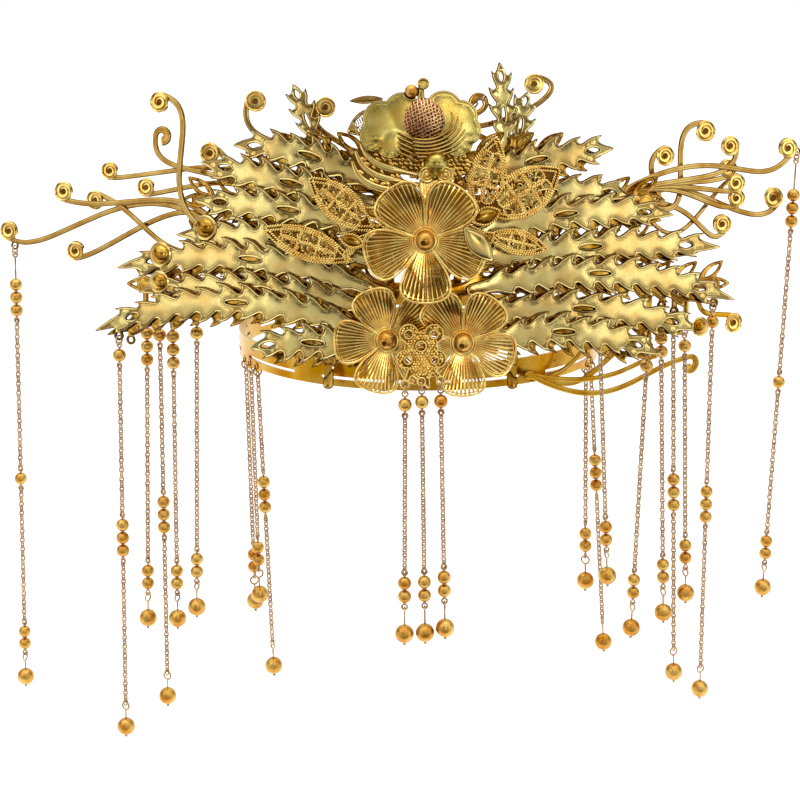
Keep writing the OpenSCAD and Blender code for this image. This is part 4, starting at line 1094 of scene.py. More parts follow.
def add_dish(shape, chart, middle, radius, kinds=(0, 1, 2)):
    """The closed end of a curl: a rolled rim, a wound floor and an eye painted dark as the shade of
    its hole.
    """
    centre = chart.place(middle[None], 0.0)[0]
    ahead = chart.place(middle[None], 1.0)[0] - centre
    rim = [(0.3, -0.1), (0.97, -0.1), (1.0, 0.1), (0.97, 0.5), (0.88, 0.62), (0.8, 0.45),
           (0.76, 0.25), (0.3, 0.12)]
    add_turned(shape, centre, ahead, [(a * radius, b) for a, b in rim], 32, kinds[1])
    # The eye is a small disc in the third material, painted dark as the shade of the hole it stands
    # for
    eye = [(0.02, 0.0), (0.3, 0.1), (0.3, 0.2), (0.02, 0.14)]
    add_turned(shape, centre, ahead, [(a * radius, b) for a, b in eye], 16, kinds[2])
    turn = np.linspace(0, 3.4 * math.pi, 54)
    out = np.linspace(0.95, 0.32, len(turn)) * radius
    line = middle + np.stack([np.cos(turn), np.sin(turn)], 1) * out[:, None]
    rise = np.interp(np.linspace(0, 1, len(turn)), [0, 0.15, 1], [0.5, 0.3, 0.3])
    add_tube(shape, chart.place(line, rise), 0.26, 6, False, kinds[0])


def strip_relief(depth, flat):
    """A flat strip with rolled edges."""
    return np.interp(depth, [0, 0.2, 0.5, 0.9, 3], [-0.15, 0.06, 0.12, 0.12, 0.16])


def add_strip(shape, chart, loops, kinds=(0, 1, 2)):
    """A strip with rolled edges, and a closed end where it curls."""
    smooth = [rounded(loop, 0.5) for loop in loops]
    add_sheet(shape, chart, smooth, strip_relief, 0.45, (0.22, 0.5, 0.85), 0.7, kinds[0])
    score, middle, radius = curl_end(max(smooth, key=len))
    if score >= 11:
        add_dish(shape, chart, middle, radius, kinds)


class CROWN_OT_curls(bpy.types.Operator):
    """Sprays of strips that roll up into closed curls, and the arms of the band"""

    bl_idname = "crown.curls"
    bl_label = "Curled strips"

    def execute(self, context):
        for name in named("curl") + named("band_arms"):
            shape = Shape()
            for chart, loops, _ in flat_sheets(name, 14):
                add_strip(shape, chart, loops)
            strip = "polished gilt band" if name in LOW_STRIPS else "rolled gilt strip"
            # The third material paints each curl's eye dark as the shade of its hole
            piece = finished(name + "_rolled", shape,
                             [paint(strip), paint("drawn gilt wire"), paint("shade-painted gilt ground")])
            settle(piece, "curl_gold", name)
        return {"FINISHED"}


# Strands
# How a strand's solids are told apart, in mm: a bead's least and greatest width, and a chain's
# least length and half width. Rings and eye pins are the rest
BEAD_WIDTHS = (4, 8)
CHAIN_LENGTH, CHAIN_HALF = 8, 0.8


class CROWN_OT_strands(bpy.types.Operator):
    """Strands of rings, beads on eye pins and chains of oval links"""

    bl_idname = "crown.strands"
    bl_label = "Beaded strands"

    def execute(self, context):
        sizes = context.scene.crown_sizes
        for name in named("tassel"):
            shape, lines, beads = Shape(), [], []
            for points, triangles in solids(name):
                middle = points.mean(0)
                reach_all = np.ptp(points, axis=0)
                way = np.linalg.svd(points - middle, full_matrices=False)[2][0]
                along = (points - middle) @ way
                off = np.linalg.norm(points - middle - along[:, None] * way, axis=1)
                if reach_all.min() > BEAD_WIDTHS[0] and reach_all.max() < BEAD_WIDTHS[1]:
                    beads.append(((points.min(0) + points.max(0)) / 2, float(reach_all.max())))
                elif off.min() > CHAIN_HALF and np.ptp(along) > CHAIN_LENGTH:
                    lines.append((middle + along.min() * way, middle + along.max() * way))
                else:
                    shape.add(points, triangles)
            piece = finished(name + "_strand", shape, [paint("plated chain")])
            ends = []
            for start, end in lines:
                reach_out = (end - start) / np.linalg.norm(end - start) * 0.5
                ends += [start - reach_out, end + reach_out]
            chain = grown("chain", ends, [(i, i + 1) for i in range(0, len(ends), 2)],
                          {"Pitch": sizes.link_pitch, "Link length": 2.9 * MM,
                           "Link width": 1.9 * MM, "Wire": sizes.link_wire,
                           "Turn": 0.7, "Material": paint("plated chain")})
            balls = grown("beads", [centre for centre, width in beads], [],
                          {"Material": paint("satin gilt bead")},
                          [width for centre, width in beads])
            joined(piece, chain, balls)
            settle(piece, "strand_gold", name)
        return {"FINISHED"}


# Flowers
FLOWERS = {
    # name: across, height, layer, petal length, first petal's turn
    "flower_middle": (0.011, 0.467, 11, 22.0, 36),
    "flower_low_left": (-0.09, 0.168, 8, 19.0, 20),
    "flower_low_right": (0.111, 0.163, 9.8, 19.0, 36),
}
# Half a petal: out from the heart, and half its width, as shares of its length
PETAL = [(0.1, 0.05), (0.3, 0.2), (0.5, 0.33), (0.7, 0.4), (0.86, 0.38), (0.96, 0.26), (1, 0.1)]
BOWL_R = 90.0
HEART_R = 3.4


class FlowerChart:
    """Across and height on a flower's shallow bowl, in its own frame."""

    def __init__(self, across, height, radius):
        self.turn = math.asin(across / FAN_R)
        self.height, self.radius = height, radius

    def place(self, flat, rise):
        a, b = np.asarray(flat, float).T
        y = -self.radius - (BOWL_R - np.sqrt(BOWL_R ** 2 - a * a - b * b)) - rise
        c, s = math.cos(self.turn), math.sin(self.turn)
        return from_fan(np.stack([c * a - s * y, s * a + c * y, b + self.height], 1))


def petal_width(out):
    """Half a petal's width at shares of its length."""
    return np.interp(out, [p[0] for p in PETAL], [p[1] for p in PETAL])


def add_petal(shape, chart, length, turn, ribs, netted):
    """One petal: a rolled border, ribs that fan out from the heart, and zigzag wire between."""
    c, s = math.cos(turn), math.sin(turn)

    def put(side, out, lift=0.0):
        """World points of the petal's own sideways and outward shares of its length."""
        side, out = np.asarray(side, float), np.asarray(out, float)
        cup = (1.0 * (side / 0.4) ** 2 + 0.45 * side / 0.4
               - 1.1 * np.clip(out - 0.72, 0, 1) ** 2 * 12
               + 0.35 * np.sin(9 * side + 5 * out + 2.3 * turn) * np.clip(out - 0.2, 0, 0.5) * 2)
        flat = np.stack([c * side - s * out, s * side + c * out], 1) * length
        return chart.place(flat, cup * np.clip(out * 1.6, 0, 1) + lift)

    # A sheet under the ribs, in the fourth material, painted dark amber as the shade between them
    if netted > 0.5:
        out, share = np.meshgrid(np.linspace(0.14, 0.97, 16), np.linspace(0.95, -0.95, 9),
                                 indexing="ij")
        side = share * petal_width(out)
        grids = [put(side.ravel(), out.ravel(), lift).reshape(16, 9, 3) for lift in (-0.3, -0.5)]
        add_grid(shape, grids[0], grids[1], 3)
    half = np.array([(w, o) for o, w in PETAL])
    loop = rounded(np.concatenate([half, half[::-1] * [-1, 1]]), 0.03)
    add_tube(shape, put(loop[:, 0], loop[:, 1], 0.25), 0.42, 8, True)
    inner = moved_in(loop, 0.05)
    inner = inner[inner[:, 1] > 0.25]
    add_tube(shape, put(inner[:, 0], inner[:, 1], 0.2), 0.24, 6)
    lines = []
    for share in np.linspace(-0.92, 0.92, ribs):
        out = np.linspace(0.1, 1.0, 34)
        side = share * 0.42 * np.clip(out, 0.05, 1) ** 0.8
        keep = np.abs(side) < petal_width(out) - 0.012
        last = np.nonzero(keep)[0].max()
        lines.append((side[:last + 1], out[:last + 1]))
        thick = np.interp(out[:last + 1], [0.1, 0.4, 1], [0.26, 0.4, 0.44])
        add_tube(shape, put(side[:last + 1], out[:last + 1], 0.15), thick, 6)
    for one, two in zip(lines, lines[1:]):
        count = min(len(one[0]), len(two[0]))
        pick = np.arange(count)
        swing = pick % 2 == 0
        side = np.where(swing, one[0][:count], two[0][:count])
        keep = (one[1][:count] > 0.16) & (one[1][:count] < min(netted, 0.6))
        if keep.sum() > 3:
            add_tube(shape, put(side[keep], one[1][:count][keep], -0.1), 0.15, 5)


def add_heart(shape, chart, kind=0):
    """The drilled bead in a flower's middle, in a wire cup."""
    origin = chart.place([(0, 0)], 0.0)[0]
    front = chart.place([(0, 0)], 1.0)[0] - origin
    arc = np.radians(np.linspace(17, 165, 20))
    axis = front + np.array([-0.28, 0, -0.3])
    axis /= np.linalg.norm(axis)
    rows = [(0.2, 1.4), (0.9, 1.6)] + [
        (HEART_R * math.sin(a), HEART_R * math.cos(a)) for a in arc]
    add_turned(shape, origin + 2.3 * front, axis, rows[::-1], 32, kind)
    # A plug in the bead's hole, in the shade-painted ground, painted dark as the hole's shade
    add_turned(shape, origin + 2.3 * front, axis, [(1.0, 1.3), (0.98, 2.6), (0.05, 2.4)], 20, 2)
    for ring, wire, rise in ((3.7, 0.4, 0.9), (4.6, 0.3, 0.6)):
        add_tube(shape, chart.place(circle(40) * ring, rise), wire, 6, True)


class CROWN_OT_flowers(bpy.types.Operator):
    """Flowers of ribbed wire petals with a drilled bead in the middle"""

    bl_idname = "crown.flowers"
    bl_label = "Flowers"

    def execute(self, context):
        ribs = context.scene.crown_sizes.petal_ribs
        for name, (across, height, layer, length, first) in FLOWERS.items():
            radius = layer_r(layer)
            chart = FlowerChart(across * FAN_REACH, height * FAN_H, radius)
            shape = Shape()
            for k in range(5):
                turn = math.radians(first + 72 * k)
                low = math.cos(turn) < -0.3 and length < 20
                add_petal(shape, chart, length, turn, ribs, 0.45 if low else 0.9)
            add_heart(shape, chart, 1)
            shape.add(*pins(name, radius + 0.2, True))
            piece = finished(name + "_wired", shape,
                             [paint("drawn gilt wire"), paint("satin gilt bead"),
                              paint("shade-painted gilt ground"), paint("shade-painted deep gilt")], 50)
            settle(piece, "flower_gold", name)
        return {"FINISHED"}


# Pierced leaves and the cloud plate
LEAF_LAYER, RIBBED_LEAF_LAYER, CLOUD_LAYER = 7, 5.5, 12


def edged(node, shape, lines, coils, relief, kind=0, seed_kind=1):
    """The node's round sheets: pierced ones get ropes and scrolls, plain ones a smooth dome."""
    rng = np.random.default_rng(11)
    radius = layer_r(LEAF_LAYER)
    sheets = back_sheet(node) + [s for s in front_sheets(node, 3) if s[0].radius > radius + 0.3]
    for chart, loops, _ in sheets:
        bars = [loop for loop in loops if len(loop) > 3]
        smooth = [rounded(loop, 0.5) for loop in bars]
        sizes = [abs(shoelace(loop)) for loop in smooth]
        if len(smooth) > 2:
            add_sheet(shape, chart, smooth, relief, 0.4, (0.4, 0.9), 1.2, kind)
            for loop, size in zip(smooth, sizes):
                if size < 4:
                    continue
                for depth in ((0.4, 1.75) if size == max(sizes) else (0.35,)):
                    line = moved_in(loop, depth)
                    lines.add(chart.place(line, 0.5), True)
            for loop, size in zip(smooth, sizes):
                if size > 4 and size < max(sizes):
                    grid = hex_grid(loop.min(0) - 1, loop.max(0) + 1, 2.8)
                    grid = grid + rng.uniform(-0.3, 0.3, grid.shape)
                    grid = grid[inside(grid, [loop]) | (reach(grid, [loop]) < 0.9)]
                    coils.append(chart.place(grid, -0.1))
        else:
            add_sheet(shape, chart, smooth, seed_relief, 0.8, (0.3, 0.7, 1.2), 0.9,
                      seed_kind + (chart.radius > radius + 0.3 and rng.random() < 0.5))
            for loop in smooth:
                line = moved_in(loop, 0.15)
                lines.add(chart.place(line, 0.1), True)


def seed_relief(depth, flat):
    """A plain pointed plate: a rim and a smooth dome."""
    return np.interp(depth, [0, 0.35, 0.7, 1.0, 2.4, 4], [0, 0.4, 0.0, 0.2, 0.6, 0.75])


def leaf_relief(depth, flat):
    """A thin ground for the ropes, sunk in its middle."""
    return np.interp(depth, [0, 0.5, 1], [-0.25, -0.1, -0.2])


# Plain plates before the middle flower: two tips as (across, height) and half the width, in mm,
# and how far they are before the flower's layer
SPANGLES = {"filigree_right": [((14.9, 61.0), (25.2, 48.8), 3.9)]}
SPANGLE_R = layer_r(FLOWERS["flower_middle"][2]) + 5.6


def add_spangle(shape, chart, start, end, half, kind):
    """A plain pointed plate between two tips, on a short pin behind it."""
    start, end = np.array(start), np.array(end)
    way = (end - start) / np.linalg.norm(end - start)
    t = np.linspace(0, 1, 12)[:, None]
    middle, bulge = start + t * (end - start), half * np.sin(math.pi * t) ** 0.85
    side = bulge * np.array([-way[1], way[0]])
    loop = np.concatenate([(middle - side)[:-1], (middle + side)[:0:-1]])
    add_sheet(shape, chart, [rounded(loop, 0.5)], seed_relief, 0.6, (0.3, 0.7, 1.2), 0.9, kind)
    pin = np.repeat((start + end)[None] / 2, 5, 0)
    add_tube(shape, chart.place(pin, np.linspace(-6, 0, 5)), 0.5, 8, False, kind)


class CROWN_OT_leaves(bpy.types.Operator):
    """Pierced leaves with twisted borders and wire scrolls, and plain plates on them"""

    bl_idname = "crown.leaves"
    bl_label = "Pierced leaves"

    def execute(self, context):
        for name in named("filigree"):
            shape, lines, coils = Shape(), Lines(), []
            edged(name, shape, lines, coils, leaf_relief)
            shape.add(*pins(name, layer_r(LEAF_LAYER), True))
            for spot in SPANGLES.get(name, []):
                add_spangle(shape, RoundChart(SPANGLE_R), *spot, 1)
            # The leaf's ground under its ropes takes the first material, painted dark as the shade
            # under them
            piece = finished(name + "_twisted", shape,
                             [paint("shade-painted gilt ground"), paint("pressed gilt brass"),
                              paint("rear gilt brass")])
            rope = grown("rope", lines.points, lines.edges,
                         {"Pitch": 0.95 * MM, "Grain length": 1.3 * MM,
                          "Grain width": 0.72 * MM, "Slant": 0.7,
                          "Material": paint("drawn gilt wire")})
            scrolls = grown("coils", np.concatenate(coils), [],
                            {"Ring": 1.3 * MM, "Wire": 0.26 * MM, "Seed": 5,
                             "Material": paint("drawn gilt wire")})
            joined(piece, rope, scrolls)
            settle(piece, "leaf_gold", name)
        return {"FINISHED"}


class CROWN_OT_ribbed_leaf(bpy.types.Operator):
    """The comb-ribbed leaf and the small plate at the crest's left"""

    bl_idname = "crown.ribbed_leaf"
    bl_label = "Ribbed leaf"

    def execute(self, context):
        shape = Shape()
        for chart, loops, _ in front_sheets("crest_leaf", 3):
            smooth = [rounded(loop, 0.4) for loop in loops]
            add_sheet(shape, chart, smooth, plate_relief(3, 0.25, 0.2), 0.5, (0.3, 0.65), 0.9)
            largest = max(abs(shoelace(loop)) for loop in smooth)
            gaps = [loop for loop in smooth if abs(shoelace(loop)) < largest]
            for loop in gaps:
                for line in hatch([loop], math.radians(112), 0.85):
                    add_tube(shape, chart.place(line, -0.2), 0.22, 6)
        shape.add(*pins("crest_leaf", layer_r(RIBBED_LEAF_LAYER), True))
        piece = finished("crest_leaf_ribbed", shape, [paint("rolled gilt strip")])
        settle(piece, "leaf_gold", "crest_leaf")
        return {"FINISHED"}


class CROWN_OT_cloud(bpy.types.Operator):
    """The granulated plate under the flowers, which carries the middle strands"""

    bl_idname = "crown.cloud"
    bl_label = "Cloud plate"

    def execute(self, context):
        shape, lines = Shape(), Lines()
        rng = np.random.default_rng(4)
        grains = []
        for chart, loops, _ in front_sheets("cloud_plate", 3):
            smooth = [rounded(loop, 0.4) for loop in loops]
            add_sheet(shape, chart, smooth, plate_relief(9, 0.1, 0.2), 0.5, (0.4, 0.8), 1.0)
            for loop in smooth:
                line = moved_in(loop, 0.35)
                lines.add(chart.place(line, 0.3), True)
            everything = np.concatenate(smooth)
            grid = hex_grid(everything.min(0), everything.max(0), 1.05)
            grid = grid[inside(grid, smooth)]
            grid = grid[reach(grid, smooth) > 0.9]
            grid = grid + rng.uniform(-0.25, 0.25, grid.shape)
            grains.append(chart.place(grid, 0.2))
        shape.add(*pins("cloud_plate", layer_r(CLOUD_LAYER), True))
        piece = finished("cloud_plate_granulated", shape, [paint("rear gilt brass")])
        rope = grown("rope", lines.points, lines.edges,
                     {"Pitch": 0.55 * MM, "Grain length": 0.9 * MM, "Grain width": 0.55 * MM,
                      "Slant": 0.3, "Material": paint("drawn gilt wire")})
        points = np.concatenate(grains)
        balls = grown("beads", points, [],
                      {"Segments": 10, "Rings": 6, "Material": paint("drawn gilt wire")},
                      rng.uniform(0.7, 1.15, len(points)))
        joined(piece, rope, balls)
        settle(piece, "cloud_gold", "cloud_plate")
        return {"FINISHED"}


# The bird
# A wing feather's start and end, as shares of the fan, and its headings there in degrees
FEATHERS = [
    (-0.2, 0.7, 0.012, 0.6, -78, -8), (-0.19, 0.73, 0.015, 0.625, -75, -12),
    (-0.175, 0.75, 0.012, 0.652, -70, -18)]
HEAD = (0.043 * FAN_REACH, 0.69 * FAN_H)
HEAD_R = 4.4
WING_LAYER, NECK_LAYER, THROAT_LAYER, HEAD_LAYER = 8.2, 7.6, 9, 10
# The neck's feather plate: half its width and height, and how far its middle is below the head's
NECK_HALF = (12.5, 5.4)
NECK_DROP = 0.4


def feather_line(row, steps=26):
    """A feather's middle line on the fan's plane."""
    start, end = np.array(row[0:2]) * (FAN_REACH, FAN_H), np.array(row[2:4]) * (FAN_REACH, FAN_H)
    pull = 0.4 * np.linalg.norm(end - start)
    first, last = (np.array([math.cos(math.radians(a)), math.sin(math.radians(a))])
                   for a in row[4:6])
    t = np.linspace(0, 1, steps)[:, None]
    return ((1 - t) ** 3 * start + 3 * t * (1 - t) ** 2 * (start + first * pull)
            + 3 * t * t * (1 - t) * (end - last * pull) + t ** 3 * end)


def neck_loop():
    """The frilled outline of the neck's feather plate on the fan's plane."""
    turn = np.linspace(0, 2 * math.pi, 72, endpoint=False)
    frill = 1 + 0.07 * np.cos(11 * turn)
    return np.stack([HEAD[0] + NECK_HALF[0] * frill * np.cos(turn),
                     HEAD[1] - NECK_DROP + NECK_HALF[1] * frill * np.sin(turn)], 1)


def down_grains(points, rng):
    """The long grains that stand for small feathers."""
    return grown("beads", points, [],
                 {"Segments": 12, "Rings": 8, "Stretch": (1.7, 0.8, 0.8),
                  "Spin": (0.0, 1.0, 0.0), "Material": paint("drawn gilt wire")},
                 rng.uniform(1.1, 1.6, len(points)))


class CROWN_OT_bird(bpy.types.Operator):
    """The bird: a dark head with ringed eyes, and a wing of scales and long feathers"""

    bl_idname = "crown.bird"
    bl_label = "Phoenix"

    def execute(self, context):
        wing_r = layer_r(WING_LAYER)
        shape, rng = Shape(), np.random.default_rng(8)
        scales = []
        for chart, loops, _ in front_sheets("phoenix_wing", 6):
            smooth = [rounded(loop, 0.5) for loop in loops]
            # The wing's ground takes the third material, painted dark as the shade under its scales
            # and feathers
            add_sheet(shape, chart, smooth, leaf_relief, 0.4, (0.4, 0.9), 1.2, 2)
            everything = np.concatenate(smooth)
            grid = hex_grid(everything.min(0), everything.max(0), 1.75)
            grid = grid[inside(grid, smooth)]
            away = np.min([np.linalg.norm(grid[:, None] - feather_line(row), axis=2).min(1)
                           for row in FEATHERS], 0)
            grid = grid[(away > 1.5) & (reach(grid, smooth) > 0.3)]
            grid = grid + rng.uniform(-0.3, 0.3, grid.shape)
            scales.append(chart.place(grid, 0.3))
        for row in FEATHERS:
            line = feather_line(row)
            swell = np.interp(np.linspace(0, 1, len(line)),
                              [0, 0.15, 0.6, 1], [0.5, 1.1, 1.4, 0.35])
            add_tube(shape, RoundChart(wing_r).place(line, 0.1), swell, 12, False, 1, 0.65)
        shape.add(*pins("phoenix_wing", wing_r, True))
        piece = finished("phoenix_wing_feathered", shape,
                         [paint("rear gilt brass"), paint("pressed gilt brass"),
                          paint("shade-painted gilt ground")])
        joined(piece, down_grains(np.concatenate(scales), rng))
        settle(piece, "bird_gold", "phoenix_wing")

        head_r = layer_r(HEAD_LAYER)
        shape = Shape()
        for chart, loops, _ in back_sheet("phoenix_head"):
            smooth = [rounded(loop, 0.5) for loop in loops if shoelace(loop) > 5]
            add_sheet(shape, chart, smooth, leaf_relief, 0.4, (0.4, 0.9), 1.2)
            for line in hatch(smooth, math.radians(84), 1.2):
                add_tube(shape, chart.place(line, 0.1), 0.36, 6)
        middle, front = on_round(HEAD[0], HEAD[1], head_r)
        # The head's dome and beak take the second material, painted darker as shade
        add_turned(shape, middle, front, ball(HEAD_R, 24), 32, 1)
        low = np.array([HEAD[0] - 0.1 * HEAD_R, HEAD[1] - 0.9 * HEAD_R])
        nose, front = on_round(low[0], low[1], head_r + 0.6 * HEAD_R)
        slope = math.radians(25)
        down = front * math.sin(slope) - np.array([0, 0, 1]) * math.cos(slope)
        t = np.linspace(0, 1, 9)
        beak = nose + t[:, None] * 1.1 * HEAD_R * (-down * 0.2 + front * 0.9) / 0.92
        add_tube(shape, beak, 0.4 * HEAD_R * (1 - 0.8 * t ** 1.4), 12, False, 1)
        for side in (-1, 1):
            eye, ahead = on_round(HEAD[0] + side * 0.72 * HEAD_R, HEAD[1] - 0.85 * HEAD_R,
                                  head_r + 0.45 * HEAD_R)
            outer = 0.7 * HEAD_R
            rows = [(0.98, -0.5), (1.0, 0.0), (0.94, 0.5), (0.8, 0.62), (0.66, 0.4), (0.62, 0.16),
                    (0.54, 0.3), (0.46, 0.42), (0.38, 0.3), (0.34, 0.05), (0.3, 0.2), (0.22, 0.42),
                    (0.1, 0.5), (0.01, 0.52)]
            add_turned(shape, eye, ahead, [(a * outer, b * 1.2) for a, b in rows], 28, 2)
        shape.add(*pins("phoenix_head", layer_r(THROAT_LAYER), True))
        neck, chart = neck_loop(), RoundChart(layer_r(NECK_LAYER))
        # The neck's ground takes the fourth material, painted dark as the shade under its grains
        add_sheet(shape, chart, [rounded(neck, 0.5)], leaf_relief, 0.4, (0.4, 0.9), 1.2, 3)
        grid = hex_grid(neck.min(0), neck.max(0), 1.75)
        grid = grid[inside(grid, [neck])]
        grid = grid + rng.uniform(-0.3, 0.3, grid.shape)
        piece = finished("phoenix_head_finished", shape,
                         [paint("drawn gilt wire"), paint("shaded gilt brass"),
                          paint("pressed gilt brass"), paint("shade-painted gilt ground")])
        joined(piece, down_grains(chart.place(grid, 0.3), rng))
        settle(piece, "bird_gold", "phoenix_head")
        return {"FINISHED"}


# The crest
CREST_LOBES = [
    # across, height, radius as a share of the fan's reach
    (-0.115, 0.82, 0.056), (-0.09, 0.752, 0.045), (-0.13, 0.775, 0.05), (-0.055, 0.845, 0.055),
    (0.115, 0.828, 0.05), (0.105, 0.76, 0.047), (0.13, 0.79, 0.045), (0.065, 0.85, 0.055)]
DOME = np.array([0.008 * FAN_REACH, 0.822 * FAN_H])
DOME_R = 0.062 * FAN_REACH
CAP_R = 1.3 * DOME_R
FINIAL = np.array([-0.004 * FAN_REACH, 0.915 * FAN_H])
CREST_LAYER = 9.4


def crest_relief(depth, flat):
    """Smooth lobes that swell and meet in creases, with a rolled rim."""
    swell, folds = np.zeros(len(flat)), np.zeros(len(flat))
    for across, height, radius in CREST_LOBES:
        off = flat - (across * FAN_REACH, height * FAN_H)
        away = np.hypot(*off.T) / (radius * FAN_REACH)
        swell = np.maximum(swell, 1 - away ** 2)
        if height < 0.77:
            fan = np.cos(9 * np.arctan2(off[:, 1], off[:, 0])) * np.clip(away - 0.25, 0, 0.8)
            folds += np.where(off[:, 1] < 2, fan * np.clip(1.6 - away, 0, 0.6), 0)
    return (0.8 * np.sqrt(swell) + 1.1 * folds
            + np.interp(depth, [0, 0.3, 0.6, 0.9, 1.2], [-0.3, 0.3, 0.25, -0.1, 0.0]))


def on_dome(flat, lift):
    """World points on the crest's dome, over points of the fan's plane."""
    away = np.hypot(*(flat - DOME).T)
    rise = np.sqrt(np.clip(CAP_R ** 2 - away ** 2, 0, None)) - math.sqrt(CAP_R ** 2 - DOME_R ** 2)
    return RoundChart(layer_r(CREST_LAYER)).place(flat, rise + lift)


class CROWN_OT_crest(bpy.types.Operator):
    """The crest: smooth lobes, swirled ribs round a netted rosy dome, a bead and a ring"""

    bl_idname = "crown.crest"
    bl_label = "Crest"

    def execute(self, context):
        crest_r = layer_r(CREST_LAYER)
        shape = Shape()
        for chart, loops, _ in back_sheet("crest"):
            outer = [rounded(loop, 0.5) for loop in loops if shoelace(loop) > 5]
            add_sheet(shape, chart, outer, crest_relief, 0.5, (0.3, 0.65, 1.1), 1.0)
        parts = 48
        round_ = circle(parts)
        rings = [on_dome(DOME + round_ * DOME_R * share, 0) for share in
                 (1.0, 0.93, 0.82, 0.68, 0.52, 0.35, 0.17, 0.01)]
        faces = [(i * parts + k, i * parts + (k + 1) % parts,
                  (i + 1) * parts + (k + 1) % parts, (i + 1) * parts + k)
                 for i in range(len(rings) - 1) for k in range(parts)]
        # The dome under the netting takes the sixth material, painted dark as the shade between its
        # wires
        shape.add(np.concatenate(rings), faces, 5)
        disc = [DOME + round_ * DOME_R * 0.97]
        rng = np.random.default_rng(6)
        for angle in (24, 100):
            for line in hatch(disc, math.radians(angle), 1.15):
                line = line + rng.uniform(-0.25, 0.25, line.shape)
                add_tube(shape, on_dome(line, 0.15), 0.3, 6, False, 2)
        for k in range(6):
            out = DOME_R + 0.9 + 1.4 * k
            swing = np.radians(np.linspace(-112 + 3 * k, 20 - 13 * k, 34))
            line = DOME + np.stack([np.cos(swing) * out * 1.2, np.sin(swing) * out * 0.86], 1)
            thick = np.interp(np.linspace(0, 1, len(line)),
                              [0, 0.3, 0.8, 1], [0.45, 0.6, 0.5, 0.2])
            add_tube(shape, RoundChart(crest_r).place(line, 2.0 - 0.1 * k), thick, 8, False, 3)
        for k in range(5):
            start = DOME + (-0.62 * DOME_R - 4.5, -0.62 * DOME_R - 1.7 * k)
            t = np.linspace(0, 1, 8)
            line = start + t[:, None] * (6.2, -2.9)
            thick = np.interp(t, [0, 0.2, 0.9, 1], [0.25, 0.55, 0.6, 0.3])
            add_tube(shape, RoundChart(crest_r).place(line, 1.6), thick, 8, False, 3)
        ring_at = FINIAL + 1.2
        ring = RoundChart(crest_r - PLATE_T / 2).place(ring_at + round_ * 1.6, 0.0)
        add_tube(shape, ring, 0.5, 8, True, 3)
        bead, ahead = on_round(FINIAL[0] - 3, FINIAL[1] - 1.5, crest_r - PLATE_T / 2)
        add_turned(shape, bead, ahead, ball(2.5, 18), 28, 4)
        shape.add(*pins("crest", crest_r, True))
        piece = finished("crest_lobed", shape,
                         [paint("satin gilt brass"), paint("rear gilt brass"),
                          paint("rose gilt mesh"), paint("rolled gilt strip"),
                          paint("satin gilt bead"), paint("shade-painted gilt ground")])
        settle(piece, "crest_gold", "crest")
        return {"FINISHED"}


# The frame keeps its own shape, under a pressed face on the fan's bars
def bar_relief(depth, flat):
    """A low rim and groove along the fan's bars and leaves."""
    return np.interp(depth, [0, 0.3, 0.7, 1.2], [0.02, 0.3, 0.06, 0.25]) + 0.02


class CROWN_OT_frame(bpy.types.Operator):
    """The head band and the fan's bars in polished gilt band, with pressed faces on the bars in rear
    gilt
    """

    bl_idname = "crown.frame"
    bl_label = "Band and bars"

    def execute(self, context):
        shape = Shape()
        points, triangles = cad_mesh("crown_frame")
        shape.add(points, triangles)
        for chart, loops, _ in front_sheets("crown_frame", 100):
            smooth = [rounded(loop, 0.8) for loop in loops]
            add_sheet(shape, chart, smooth, bar_relief, 0.2, (0.3, 0.7), 2.0, 1)
        piece = finished("crown_frame_pressed", shape,
                         [paint("polished gilt band"), paint("rear gilt brass")])
        settle(piece, "frame_gold", "crown_frame")
        return {"FINISHED"}


# Stage
# The camera, which looks down on the crown: its distance, and the width of its view there, in mm
CAMERA_RISE = math.radians(14)
CAMERA_AWAY = 760
CAMERA_WIDE = 300
CAMERA_AIM = (-7.5, -60.0, -6.5)
SENSOR = 36


